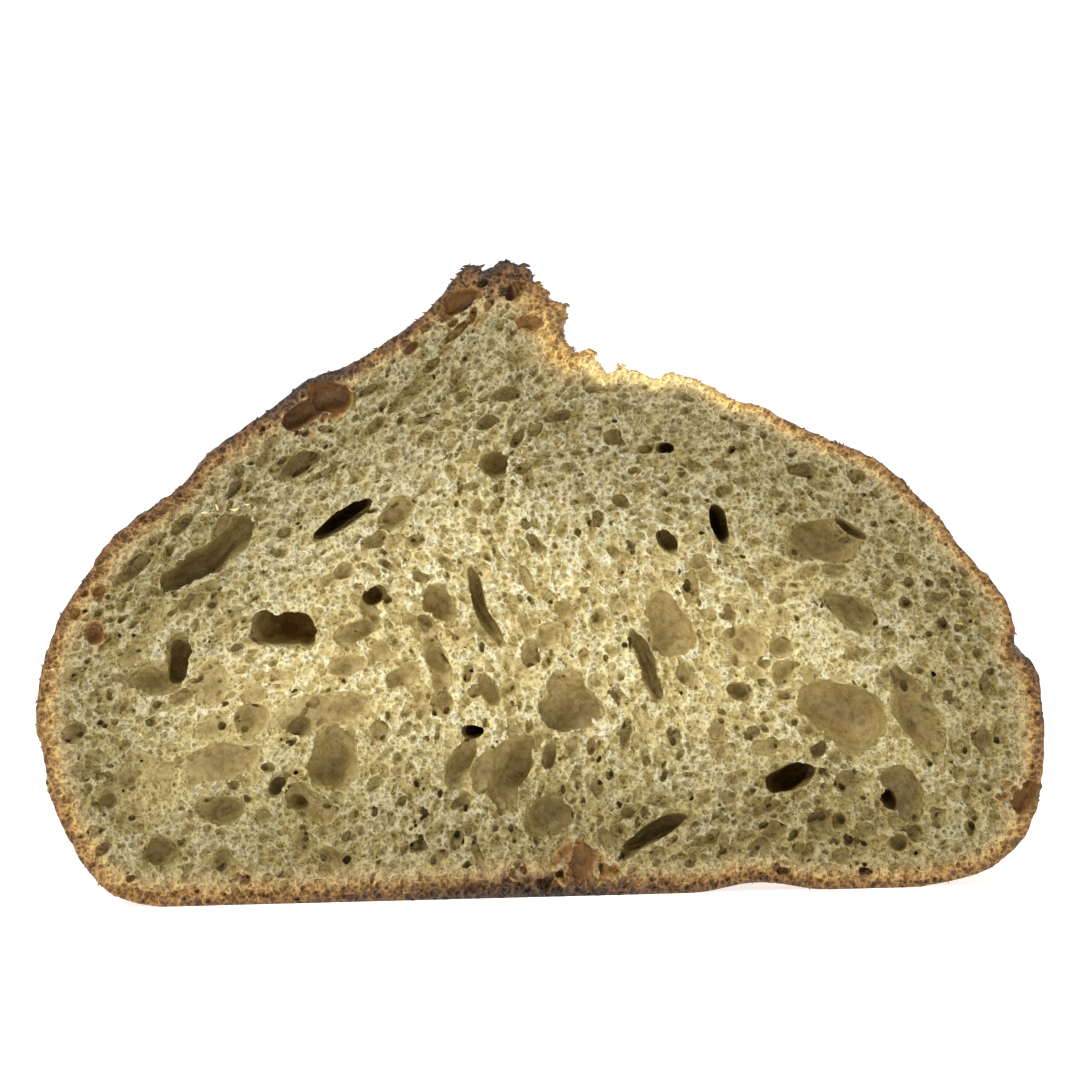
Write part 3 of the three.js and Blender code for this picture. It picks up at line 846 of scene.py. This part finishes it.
def crumb_material():
    """Cream crumb, darkened in its pockets, its small pits and near its outline by painted shade, that browns
    into the cut edge of the crust.
    """
    recipe = Recipe("open_crumb")
    depth = recipe.attribute("pocket_depth")
    edge = recipe.attribute("crust_share")
    skin = recipe.attribute("skin_browning")
    patch = recipe.noise(16.0, 1.0)
    fine = recipe.noise(1.6, 2.0, 0.6)
    bent = recipe.on_the_cut(2.5, 1.2)
    rims = 1.0 - recipe.pits(1.5, bent) * 0.6 - recipe.pits(0.8, bent) * 0.4
    toasted = recipe.attribute("toasting")
    mottling = (patch - 0.5) * 2.2 + 0.5 + (fine - 0.5) * 0.8
    mottled = recipe.blend(linear(242, 234, 198), linear(227, 217, 172), mottling)
    # Painted shade: the deeper a place lies behind the cut, the darker and more saturated the crumb's colour,
    # from the walls through sunken floors to deep holes.
    walls = recipe.blend(mottled, linear(230, 213, 153), depth.between(0.1, 1.5))
    sunken_shade = recipe.blend(walls, linear(184, 163, 106), depth.between(1.2, 4.6))
    deep = recipe.blend(sunken_shade, linear(160, 124, 66), depth.between(6.0, 14.0))
    # Painted shade: near the cut, the middles of the small pits are darker than their bright rims.
    pit_shade = recipe.blend(linear(206, 188, 136), WHITE, rims.between(0.2, 0.9))
    blotched = recipe.blend(linear(222, 216, 200), WHITE, fine.between(0.35, 0.62))
    speckled = recipe.blend(deep, blotched, depth.between(0.6, 2.0), "MULTIPLY")
    frothy = recipe.blend(speckled, pit_shade, 1.0 - depth.between(0.8, 4.0), "MULTIPLY")
    # Painted shade: the crumb is darker near the outline, fading out between 8 and 46 mm from it.
    middle = recipe.attribute("edge_distance").between(8.0, 46.0)
    painted_edge_shade = recipe.blend(linear(191, 186, 172), WHITE, middle)
    edge_shaded = recipe.blend(frothy, painted_edge_shade, 1.0, "MULTIPLY")
    wavering = edge + (recipe.noise(2.6, 1.0) - 0.5) * 0.8
    under = recipe.blend(linear(196, 172, 122), edge_shaded, edge.between(0.9, 2.0))
    # The (0.6 - rims) term adds the same painted pit shade to the crust's cut edge.
    tone = skin + 0.08 - wavering.between(0.0, 1.1) * 0.34 + (fine - 0.5) * 0.5 + (0.6 - rims) * 0.3
    crust = recipe.ramp(tone, SKIN_STOPS)
    baked = recipe.blend(crust, under, wavering.between(0.55, 1.3))
    brown = recipe.ramp(toasted + (fine - 0.5) * 0.3, SKIN_STOPS)
    colour = recipe.blend(baked, brown, toasted.between(0.1, 0.36) * depth.between(0.2, 1.4))
    height = rims * (1.0 - depth.between(0.8, 4.0) * 0.75)
    normal = recipe.node(
        "ShaderNodeBump", {}, {"Height": height, "Strength": 1.0, "Distance": 1.0 * MM}, "Normal")
    return recipe.finish(
        {"Base Color": colour, "Normal": normal},
        {"Roughness": 0.46, "IOR": 1.4, "Specular IOR Level": 0.5},
    )


def crust_material():
    """Baked skin: browned, blistered and a little floury, and torn gold along the bloom."""
    recipe = Recipe("baked_crust")
    skin = recipe.attribute("skin_browning")
    bloom = recipe.attribute("bloom")
    patch = recipe.noise(11.0, 4.0, 0.6)
    fine = recipe.noise(1.3, 4.0, 0.65)
    tone = skin + (patch - 0.5) * 0.42 + (fine - 0.5) * 0.24
    colour = recipe.ramp(tone, SKIN_STOPS)
    flour = recipe.noise(7.0, 5.0, 0.7).between(0.5, 0.72) * (1.0 - bloom) * fine.between(0.3, 0.62)
    dusted = recipe.blend(colour, linear(222, 204, 172), flour * 0.55)
    height = recipe.noise(0.6, 3.0, 0.6) * 0.35 + recipe.noise(1.5, 3.0, 0.6) * 0.65
    normal = recipe.node(
        "ShaderNodeBump", {}, {"Height": height, "Strength": 0.7, "Distance": 0.6 * MM}, "Normal")
    roughness = 0.5 + flour * 0.35 + (patch - 0.5) * 0.3
    return recipe.finish(
        {"Base Color": dusted, "Normal": normal, "Roughness": roughness},
        {"IOR": 1.45, "Specular IOR Level": 0.4},
    )


# The floor glows less in front of the loaf, from the first to the second place along Y in metres, so that
# it doesn't light the cut from below.
FRONT_GLOW_SHARE = 0.3
FRONT_GLOW_FADE = (-0.7, -0.3)


def studio_material(settings):
    """Plain pale floor and backdrop, which glow and so light the scene like a lamp, less in front of the
    loaf.
    """
    recipe = Recipe("pale_floor")
    cloud = recipe.noise(300.0, 1.0)
    colour = recipe.blend(settings.floor_colour, [0.98 * c for c in settings.floor_colour], cloud)
    along = recipe.node("ShaderNodeSeparateXYZ", {}, {0: recipe.places}, "Y")
    glow = recipe.blend([FRONT_GLOW_SHARE] * 3, WHITE, along.between(*FRONT_GLOW_FADE))
    return recipe.finish(
        {"Base Color": colour, "Emission Color": glow},
        {"Roughness": 0.7, "Specular IOR Level": 0.2, "Emission Strength": settings.floor_glow},
    )


CRUMB_DEPTH = 20.0
RING_SPACING = 0.72
CRUST_ROWS = 128
# The crumb block reaches this far round the rim of the cut, and the crust starts there.
RIM_DEPTH = 0.55
# Hidden lining of the crust round the crumb, as (distance inside the outline, depth behind the cut).
LINING = ((5.0, 23.0), (2.9, 9.6), (0.9, 3.0), (0.3, RIM_DEPTH))
# The crumb is sawn into layers of these names, from the base up.
LAYERS = ("base", "lower", "upper", "top")
AIR_AROUND = 1.5
AIR_BEFORE = 1.6
AIR_BEHIND = 1.0
# Unevenness of the crust behind the cut: the edge of the tear wanders, as (degrees, waves in the length,
# start), swells run round and along it, as (waves round, waves along), and heights are in millimetres.
RIPPLES = ((1.3, 21.0, 0.0), (0.8, 53.0, 1.0), (0.5, 110.0, 0.0))
SWELLS = ((3.1, 5.0), (5.3, -7.0), (2.0, 9.0))
SWELL_HEIGHT = 1.4 / 3
LIP_HEIGHT = 1.3
SINK_BEHIND_CUT = 0.9


def inward(line, distance):
    """The closed line moved inwards by a distance."""
    along = np.roll(line, -1, axis=0) - np.roll(line, 1, axis=0)
    normal = np.column_stack([along[:, 1], -along[:, 0]])
    normal /= np.linalg.norm(normal, axis=1)[:, None]
    return line + normal * distance


def evened(values, weight, reach):
    """Values round a closed line, averaged with their neighbours where the weight lets both."""
    reachable = np.arange(-3 * reach, 3 * reach + 1)
    bell = np.exp(-0.5 * (reachable / reach) ** 2)
    total = sum(b * np.roll(values * weight, int(k)) for k, b in zip(reachable, bell))
    share = sum(b * np.roll(weight, int(k)) for k, b in zip(reachable, bell))
    return values + (total / np.maximum(share, 1e-6) - values) * weight


def skin_edge_angle(share):
    """Angle in degrees where the torn bloom starts on the right, which narrows towards the score's end."""
    open_share = np.sqrt(np.clip(1.0 - (share / SCORE_END) ** 2, 0.0, 1.0))
    return EAR_FOOT_ANGLE - (EAR_FOOT_ANGLE - SKIN_EDGE_ANGLE) * open_share


def crust_skin(outline, share):
    """Points of the crust in millimetres, in rows from the cut to the rounded end, with how browned and
    how torn each place is. The outline isn't centred, and share is one number for each row."""
    x, z = outline[:, 0], outline[:, 1]
    share = share[:, None]
    angle = np.degrees(np.arctan2(z - WAIST_HEIGHT, x))
    above = z > WAIST_HEIGHT
    measured = np.hypot(x, z - WAIST_HEIGHT)
    safe = np.where(above, angle, 90.0)
    dome = plain_dome(np.radians(safe))
    waist = np.abs(np.where(x > 0, x.max(), x.min())) / DOME_HALF_WIDTH
    ratio = np.where(above, measured / dome, waist)
    keep_sharp = smoothstep(76, 80, safe) * (1 - smoothstep(98, 112, safe))
    even = evened(ratio, (1.0 - keep_sharp), 9)
    edge = skin_edge_angle(share)
    opened = np.clip((EAR_FOOT_ANGLE - edge) / (EAR_FOOT_ANGLE - SKIN_EDGE_ANGLE), 0.02, 1.0)
    tear_edge = edge + sum(size * np.sin(waves * share + start) for size, waves, start in RIPPLES)
    source = np.where(
        safe > edge, EAR_FOOT_ANGLE - (EAR_FOOT_ANGLE - safe) / opened, safe / edge * SKIN_EDGE_ANGLE)
    right = above & (safe < EAR_FOOT_ANGLE - 1.0)
    order = np.argsort(safe[right])
    moved = np.interp(source, safe[right][order], even[right][order])
    sharp = np.interp(source, safe[right][order], ratio[right][order])
    bump_fade = smoothstep(0.0, 0.2, share)
    right_ratio = sharp + (moved - sharp) * bump_fade
    left_ratio = ratio + (even - ratio) * bump_fade
    follow = np.where(right, right_ratio, left_ratio)
    fade = smoothstep(*SCORE_FADE, share)
    torn = smoothstep(tear_edge - 1.0, tear_edge + 1.0, safe) * (1 - smoothstep(90.0, 92.5, safe)) * above
    torn = torn * (1 - smoothstep(SCORE_END - 0.03, SCORE_END, share))
    lip = LIP_HEIGHT * np.exp(-np.clip(edge - safe, 0, None) * 0.5) * (safe < edge) * above
    lip = lip * smoothstep(0.02, 0.2, share) * (1 - smoothstep(SCORE_END - 0.15, SCORE_END, share))
    swell = sum(np.sin(around * np.radians(safe) + along * share) for around, along in SWELLS)
    rim = smoothstep(0, 17, safe) * smoothstep(0, 17, 180 - safe)
    lump = SWELL_HEIGHT * swell * rim * smoothstep(0.05, 0.4, share)
    sunk = SINK_BEHIND_CUT * rim * smoothstep(0.006, 0.05, share) * (1 - smoothstep(0.3, 0.6, share))
    radius = dome * (follow + (1 - follow) * fade) + lip + lump - sunk
    width = round_off(share, PLAN_POWER)
    crown = round_off(share, CROWN_POWER)
    upper_x = radius * np.cos(np.radians(safe)) * width
    upper_z = WAIST_HEIGHT + radius * np.sin(np.radians(safe)) * crown
    end = np.clip((share - FLAT_BASE_SHARE) / (1 - FLAT_BASE_SHARE), 0, None)
    on_base = (np.abs(x) < FOOT_HALF_WIDTH) & (z <= ARCH_RISE)
    low = np.where(on_base, z * (1 - smoothstep(0, ARCH_REACH, share)), z)
    lower_z = WAIST_HEIGHT - (WAIST_HEIGHT - low) * round_off(end, 2)
    points = np.stack([
        np.where(above, upper_x, x * (1 + (1 / waist - 1) * fade) * width) - CENTRE_SHIFT,
        np.broadcast_to(CUT_Y + HALF_LENGTH * share, upper_x.shape),
        np.where(above, upper_z, lower_z),
    ], axis=-1)
    at_cut = np.broadcast_to(at_angle(BROWNING, dome_angle(x, z)), points.shape[:2])
    height = points[..., 2]
    crest = above * np.exp(-((safe - 91.0) / 4.5) ** 2) * (1 - smoothstep(0.4, 0.8, share))
    skin_tone = 0.48 + 0.15 * smoothstep(40, 100, height) + 0.1 * smoothstep(16, 0, height) + 0.32 * crest
    torn_tone = 0.26 + 0.14 * smoothstep(0.0, 0.9, share) + 0.3 * smoothstep(68, 88, safe)
    aged = skin_tone + (torn_tone - skin_tone) * torn
    browned = at_cut + (aged - at_cut) * smoothstep(0.02, 0.2, share)
    return points, browned, torn


def relief_of_crust(points, torn, height):
    """How far each place of the crust stands proud, in millimetres: blisters and dents on the skin,
    ragged ridges along the tear."""
    skin = 0.55 * lattice_noise(points, 15.0, 31) + 0.16 * lattice_noise(points, 2.2, 32)
    blister = 0.55 * np.clip(lattice_noise(points, 4.6, 33) - 0.7, 0.0, 1.2)
    drawn = points * np.array([1.0, 0.42, 1.0])
    ridges = 0.75 - 1.5 * np.abs(lattice_noise(drawn, 3.4, 34)).clip(0, 1)
    ragged = 0.55 * ridges + 0.4 * lattice_noise(points, 1.7, 35) + 0.5 * lattice_noise(drawn, 8.0, 36)
    ragged = ragged * (0.45 + 0.55 * smoothstep(60.0, 6.0, points[..., 0]))
    from_cut = points[..., 1] - CUT_Y
    calm = smoothstep(0.6, 12.0, from_cut) * smoothstep(0.4, 9.0, points[..., 2])
    return height * calm * ((skin + blister) * (1 - torn) + ragged * torn)


def crust_mesh(settings):
    """One closed skin round the loaf, from a hidden lip behind the cut to the rounded end."""
    outline = flaky_outline(RING_SPACING)
    columns = len(outline)
    first = math.asin(RIM_DEPTH / HALF_LENGTH) * 2 / math.pi
    share = np.sin(np.linspace(first, 1.0, CRUST_ROWS - 1) * math.pi / 2)
    share[-1] = 1.0
    skin, browned, torn = crust_skin(outline, share)
    around = np.roll(skin, -1, axis=1) - np.roll(skin, 1, axis=1)
    along = np.gradient(skin, axis=0)
    normal = np.cross(around, along)
    normal /= np.maximum(np.linalg.norm(normal, axis=2), 1e-9)[..., None]
    middle = np.array([0.0, CUT_Y, WAIST_HEIGHT])
    normal *= np.sign((normal * (skin - middle)).sum(axis=2))[..., None]
    normal[-1] = (0.0, 1.0, 0.0)
    lift = relief_of_crust(skin, torn, settings.crust_relief / MM)
    lift[-1] = lift[-1].mean()
    skin = skin + normal * lift[..., None]
    browned = browned + lift * (0.06 + 0.12 * torn)
    skin[..., 2] = np.maximum(skin[..., 2], 0.0)
    skin[..., 1] = np.minimum(skin[..., 1], CUT_Y + HALF_LENGTH + 1.0)
    lining = [np.tile([0.0, CUT_Y + LINING[0][1], WAIST_HEIGHT], (columns, 1))]
    for distance, behind in LINING:
        line = inward(outline, distance)
        lining.append(np.column_stack([
            line[:, 0] - CENTRE_SHIFT, np.full(columns, CUT_Y + behind), np.maximum(line[:, 1], distance)]))
    points = np.concatenate([np.array(lining), skin])
    browned = np.concatenate([browned[:1]] * len(lining) + [browned])
    torn = np.concatenate([torn[:1]] * len(lining) + [torn])
    sheet = bmesh.new()
    rows = len(points)
    bmesh.ops.create_grid(sheet, x_segments=columns, y_segments=rows - 1, size=0.5)
    mesh = bpy.data.meshes.new("crust")
    sheet.to_mesh(mesh)
    flat = vertex_places(mesh) * MM + 0.5
    column = np.round(flat[:, 0] * columns).astype(int) % columns
    row = np.round(flat[:, 1] * (rows - 1)).astype(int)
    mesh.vertices.foreach_set("co", (points[row, column] * MM).astype(np.float32).ravel())
    store(mesh, "skin_browning", browned[row, column])
    store(mesh, "bloom", torn[row, column])
    sheet.clear()
    sheet.from_mesh(mesh)
    bmesh.ops.remove_doubles(sheet, verts=sheet.verts, dist=1e-6)
    bmesh.ops.recalc_face_normals(sheet, faces=sheet.faces)
    sheet.to_mesh(mesh)
    sheet.free()
    shade_smooth(mesh)
    return mesh


def crumb_mesh(settings):
    """The crumb and the cut edge of the crust, as dough with its gas cells taken out."""
    outline = flaky_outline(RING_SPACING) - [CENTRE_SHIFT, 0.0]
    voxel = settings.crumb_voxel / MM
    low = (outline[:, 0].min() - AIR_AROUND, CUT_Y - AIR_BEFORE, -AIR_AROUND)
    high = (
        outline[:, 0].max() + AIR_AROUND, CUT_Y + CRUMB_DEPTH + AIR_BEHIND, outline[:, 1].max() + AIR_AROUND)
    block = CrumbBlock(voxel, CRUMB_DEPTH, outline, low, high)
    return foam_mesh(block, settings.crumb_triangles), block


def foam_mesh(block, triangles):
    """The block with all its gas cells, thinned to so many triangles."""
    block.fill()
    block.carve_pockets()
    for cells in SMALL_CELLS:
        block.scatter(*cells)
    block.roughen()
    points, quads = largest_body(*block.surface())
    return thinned(mesh_from("whole_crumb", points, quads), triangles)


def layers_of(mesh, count):
    """The mesh sawn level into layers of like numbers of triangles, each one closed."""
    corners = triangle_corners(mesh)
    heights = vertex_places(mesh)[corners].mean(axis=1)[:, 2] * MM
    levels = np.quantile(heights, np.linspace(0, 1, count + 1))
    layers = []
    for low, high in zip(levels[:-1], levels[1:]):
        part = bmesh.new()
        part.from_mesh(mesh)
        for level, side in ((low, -1.0), (high, 1.0)):
            if level in (levels[0], levels[-1]):
                continue
            everything = part.verts[:] + part.edges[:] + part.faces[:]
            cut = bmesh.ops.bisect_plane(
                part, geom=everything, dist=1e-7, plane_co=(0, 0, level), plane_no=(0, 0, side),
                clear_outer=True)
            rim = [e for e in cut["geom_cut"] if isinstance(e, bmesh.types.BMEdge)]
            bmesh.ops.triangle_fill(part, edges=rim, use_dissolve=False, normal=(0, 0, side))
            for edge in rim:
                edge.smooth = False
        layer = bpy.data.meshes.new("layer")
        part.to_mesh(layer)
        part.free()
        layers.append(layer)
    return layers


def flake_places(outline):
    """Middle, lean, size and browning of each scrap of crust and each loose crumb."""
    rng = np.random.default_rng(17)
    angles = dome_angle(outline[:, 0], outline[:, 1])
    rim = outline[angles.argsort()]
    angles = np.sort(angles)
    places = []
    for first, last, count, size, added in FLAKES:
        for angle in rng.uniform(first, last, count):
            x, z = rim[np.searchsorted(angles, angle) % len(rim)]
            lean = math.atan2(z - WAIST_HEIGHT, x) + math.pi / 2 + rng.normal(0.0, 0.6)
            behind = rng.uniform(-0.1, 1.4)
            tone = float(at_angle(BROWNING, angle)) + added + rng.normal(0.0, 0.1)
            places.append((x - CENTRE_SHIFT, CUT_Y + behind, z, lean, size * rng.lognormal(0.0, 0.35), tone))
    for x, z, size, tone in LOOSE_CRUMBS:
        x, z = levelled(x, z)
        places.append((x, CUT_Y + 0.15, z, rng.uniform(0, math.pi), size, tone))
    return places


def flake_mesh():
    """Small bent scraps of crust that stick to the torn edge, and crumbs that lie on the cut."""
    outline = flaky_outline(RING_SPACING)
    scraps = bmesh.new()
    tones = []
    for number, (x, y, z, lean, size, tone) in enumerate(flake_places(outline)):
        ball = bmesh.ops.create_icosphere(scraps, subdivisions=1, radius=1.0)["verts"]
        places = np.array([v.co for v in ball])
        bumps = 1.0 + 0.22 * lattice_noise(places + number * 7.0, 0.9, 51)
        places = places * bumps[:, None] * np.array([0.85, 0.4, 0.24]) * size
        places[:, 2] += 0.35 * places[:, 0] ** 2 / size
        turned = np.column_stack([
            places[:, 0] * math.cos(lean) - places[:, 2] * math.sin(lean),
            places[:, 1],
            places[:, 0] * math.sin(lean) + places[:, 2] * math.cos(lean),
        ])
        for vertex, spot in zip(ball, turned + [x, y, z]):
            vertex.co = Vector((spot[0], spot[1], max(spot[2], 0.02))) * MM
        tones += [tone] * len(ball)
    mesh = bpy.data.meshes.new("flakes")
    scraps.to_mesh(mesh)
    scraps.free()
    store(mesh, "skin_browning", tones)
    store(mesh, "bloom", np.ones(len(tones)))
    shade_smooth(mesh)
    return mesh


def dress_crumb(mesh, block):
    """Stores on a layer of the crumb what its material reads."""
    points = vertex_places(mesh)
    edge = block.face_values(points, block.edge)
    behind = points[:, 1] - CUT_Y
    store(mesh, "crust_share", edge / block.face_values(points, at_angle(THICKNESS, block.edge_angle)))
    store(mesh, "edge_distance", edge)
    store(mesh, "toasting", toasting_at(points[:, 0], points[:, 2]))
    store(mesh, "pocket_depth", behind - block.face_values(points, block.face))
    browned = at_angle(BROWNING, block.edge_angle).astype(np.float32)
    store(mesh, "skin_browning", block.face_values(points, browned))
    shade_smooth(mesh)
    on_side = (behind > 0.9) & (edge - tuck_of_crumb(behind) < 0.4)
    planar_map(mesh, points, on_side | (behind > CRUMB_DEPTH - 0.5))


class LoafSettings(bpy.types.PropertyGroup):
    """Sizes and colours of the loaf that a user may change."""

    crumb_voxel: bpy.props.FloatProperty(
        name="Crumb Fineness", description="Size of the smallest torn bit of crumb",
        default=0.3 * MM, min=0.2 * MM, unit="LENGTH", precision=5)
    crumb_triangles: bpy.props.IntProperty(
        name="Crumb Triangles", description="Triangles of the crumb's surface", default=740000)
    crust_relief: bpy.props.FloatProperty(
        name="Crust Relief", description="Height of the blisters and ragged ridges of the crust",
        default=1.0 * MM, unit="LENGTH", precision=5)


class StudioSettings(bpy.types.PropertyGroup):
    """The floor, the light and the view."""

    floor_colour: bpy.props.FloatVectorProperty(
        name="Floor", description="Colour of the floor and backdrop",
        default=(0.97, 0.97, 0.97), subtype="COLOR")
    floor_glow: bpy.props.FloatProperty(
        name="Floor Glow", description="Light that the floor and backdrop give off", default=0.72)
    sky: bpy.props.FloatProperty(name="Sky", description="Strength of the light from all round", default=0.22)
    key_power: bpy.props.FloatProperty(
        name="Key Light", description="Power of the large lamp above the left front",
        default=8.9, unit="POWER")
    view_distance: bpy.props.FloatProperty(
        name="View Distance", description="From the camera to the cut face", default=0.6, unit="LENGTH")
    view_width: bpy.props.FloatProperty(
        name="View Width", description="Width of the picture at the cut face", default=0.216, unit="LENGTH")
    view_height: bpy.props.FloatProperty(
        name="View Height", description="Height of the picture's middle above the floor",
        default=0.0716, unit="LENGTH", precision=4)
    view_elevation: bpy.props.FloatProperty(
        name="View Elevation", description="How far the camera looks down",
        default=math.radians(1.0), subtype="ANGLE")
    view_roll: bpy.props.FloatProperty(
        name="View Roll", description="Lean of the picture, which makes the loaf lean to the left",
        default=LEVEL_TURN, subtype="ANGLE")


class LOAF_OT_crumb(bpy.types.Operator):
    """Bakes the open crumb of the cut face"""

    bl_idname = "loaf.crumb"
    bl_label = "Crumb"

    def execute(self, context):
        mesh, block = crumb_mesh(context.scene.loaf)
        material = crumb_material()
        for place, layer in zip(LAYERS, layers_of(mesh, len(LAYERS))):
            dress_crumb(layer, block)
            add_piece("crumb_" + place, layer, material)
        return {"FINISHED"}


class LOAF_OT_crust(bpy.types.Operator):
    """Bakes the crust with its ear and bloom"""

    bl_idname = "loaf.crust"
    bl_label = "Crust"

    def execute(self, context):
        material = crust_material()
        add_piece("crust", crust_mesh(context.scene.loaf), material)
        add_piece("flakes", flake_mesh(), material)
        return {"FINISHED"}


class LOAF_OT_studio(bpy.types.Operator):
    """Sets the floor, the soft lamps and the camera"""

    bl_idname = "loaf.studio"
    bl_label = "Studio"

    def execute(self, context):
        settings = context.scene.studio
        build_floor(settings)
        build_lamps(context.scene, settings)
        build_camera(context.scene, settings)
        return {"FINISHED"}


def build_floor(settings):
    """A floor that curves up into a backdrop far behind the loaf."""
    sweep = bmesh.new()
    bmesh.ops.create_grid(sweep, x_segments=2, y_segments=48, size=1.0)
    half_width, front, back, bend, top = 6.0, -5.0, 3.0, 1.5, 5.0
    flat = back - front
    quarter = bend * math.pi / 2
    for vertex in sweep.verts:
        along = (vertex.co.y + 1) / 2 * (flat + quarter + top)
        turn = min(max((along - flat) / bend, 0.0), math.pi / 2)
        straight = max(along - flat - quarter, 0.0)
        vertex.co = Vector((
            vertex.co.x * half_width,
            front + min(along, flat) + bend * math.sin(turn),
            bend * (1 - math.cos(turn)) + straight,
        ))
    mesh = bpy.data.meshes.new("floor")
    sweep.to_mesh(mesh)
    sweep.free()
    shade_smooth(mesh)
    floor = new_object("floor", mesh)
    mesh.materials.append(studio_material(settings))


def aim(thing, place, target, roll=0.0):
    """Stands a lamp or camera at a place and turns it towards a target."""
    look = (Vector(target) - Vector(place)).to_track_quat("-Z", "Y").to_matrix().to_4x4()
    thing.matrix_world = Matrix.Translation(place) @ look @ Matrix.Rotation(roll, 4, "Z")


# Soft square lamps, as (name, share of the key light's power, width and place in metres).
LAMPS = (
    ("key", 1.0, 0.45, (-0.55, -0.62, 0.82)),
    ("fill", 0.3, 0.9, (0.7, -0.7, 0.4)),
)
LAMP_TARGET_HEIGHT = 0.06


def build_lamps(scene, settings):
    world = bpy.data.worlds.new("studio")
    world.use_nodes = True
    background = world.node_tree.nodes["Background"]
    background.inputs["Color"].default_value = (*WHITE, 1.0)
    background.inputs["Strength"].default_value = settings.sky
    scene.world = world
    for name, share, size, place in LAMPS:
        lamp = bpy.data.lights.new(name, "AREA")
        lamp.energy = settings.key_power * share
        lamp.size = size
        aim(new_object(name, lamp), place, (0.0, CUT_Y * MM, LAMP_TARGET_HEIGHT))
    scene.view_settings.view_transform = "Standard"


# The picture's middle in millimetres, at its own height above the base, turned level.
PICTURE_MIDDLE_X = 73.0 * math.sin(LEVEL_TURN)
# Width of the camera's sensor, in its own millimetres.
SENSOR_WIDTH = 36.0


def build_camera(scene, settings):
    camera = bpy.data.cameras.new("camera")
    camera.sensor_width = SENSOR_WIDTH
    camera.lens = SENSOR_WIDTH * settings.view_distance / settings.view_width
    camera.clip_start = 0.01
    view = new_object("camera", camera)
    target = Vector(((PICTURE_MIDDLE_X - CENTRE_SHIFT) * MM, CUT_Y * MM, settings.view_height))
    lift = settings.view_distance * math.tan(settings.view_elevation)
    aim(view, target + Vector((0.0, -settings.view_distance, lift)), target, -settings.view_roll)
    scene.camera = view


class LOAF_PT_panel(bpy.types.Panel):
    """Lists the loaf's sizes and the steps that make it"""

    bl_idname = "LOAF_PT_panel"
    bl_label = "Loaf"
    bl_space_type = "VIEW_3D"
    bl_region_type = "UI"
    bl_category = "Loaf"

    def draw(self, context):
        for group in (context.scene.loaf, context.scene.studio):
            for name in group.bl_rna.properties.keys():
                if name not in ("rna_type", "name"):
                    self.layout.prop(group, name)
        for step in STEPS:
            self.layout.operator(step.bl_idname)


STEPS = (LOAF_OT_crumb, LOAF_OT_crust, LOAF_OT_studio)
CLASSES = (LoafSettings, StudioSettings, *STEPS, LOAF_PT_panel)


def register():
    for each in CLASSES:
        bpy.utils.register_class(each)
    bpy.types.Scene.loaf = bpy.props.PointerProperty(type=LoafSettings)
    bpy.types.Scene.studio = bpy.props.PointerProperty(type=StudioSettings)


def unregister():
    del bpy.types.Scene.studio
    del bpy.types.Scene.loaf
    for each in reversed(CLASSES):
        bpy.utils.unregister_class(each)


def main():
    register()
    bpy.ops.loaf.crumb()
    bpy.ops.loaf.crust()
    bpy.ops.loaf.studio()


if __name__ == "__main__":
    main()
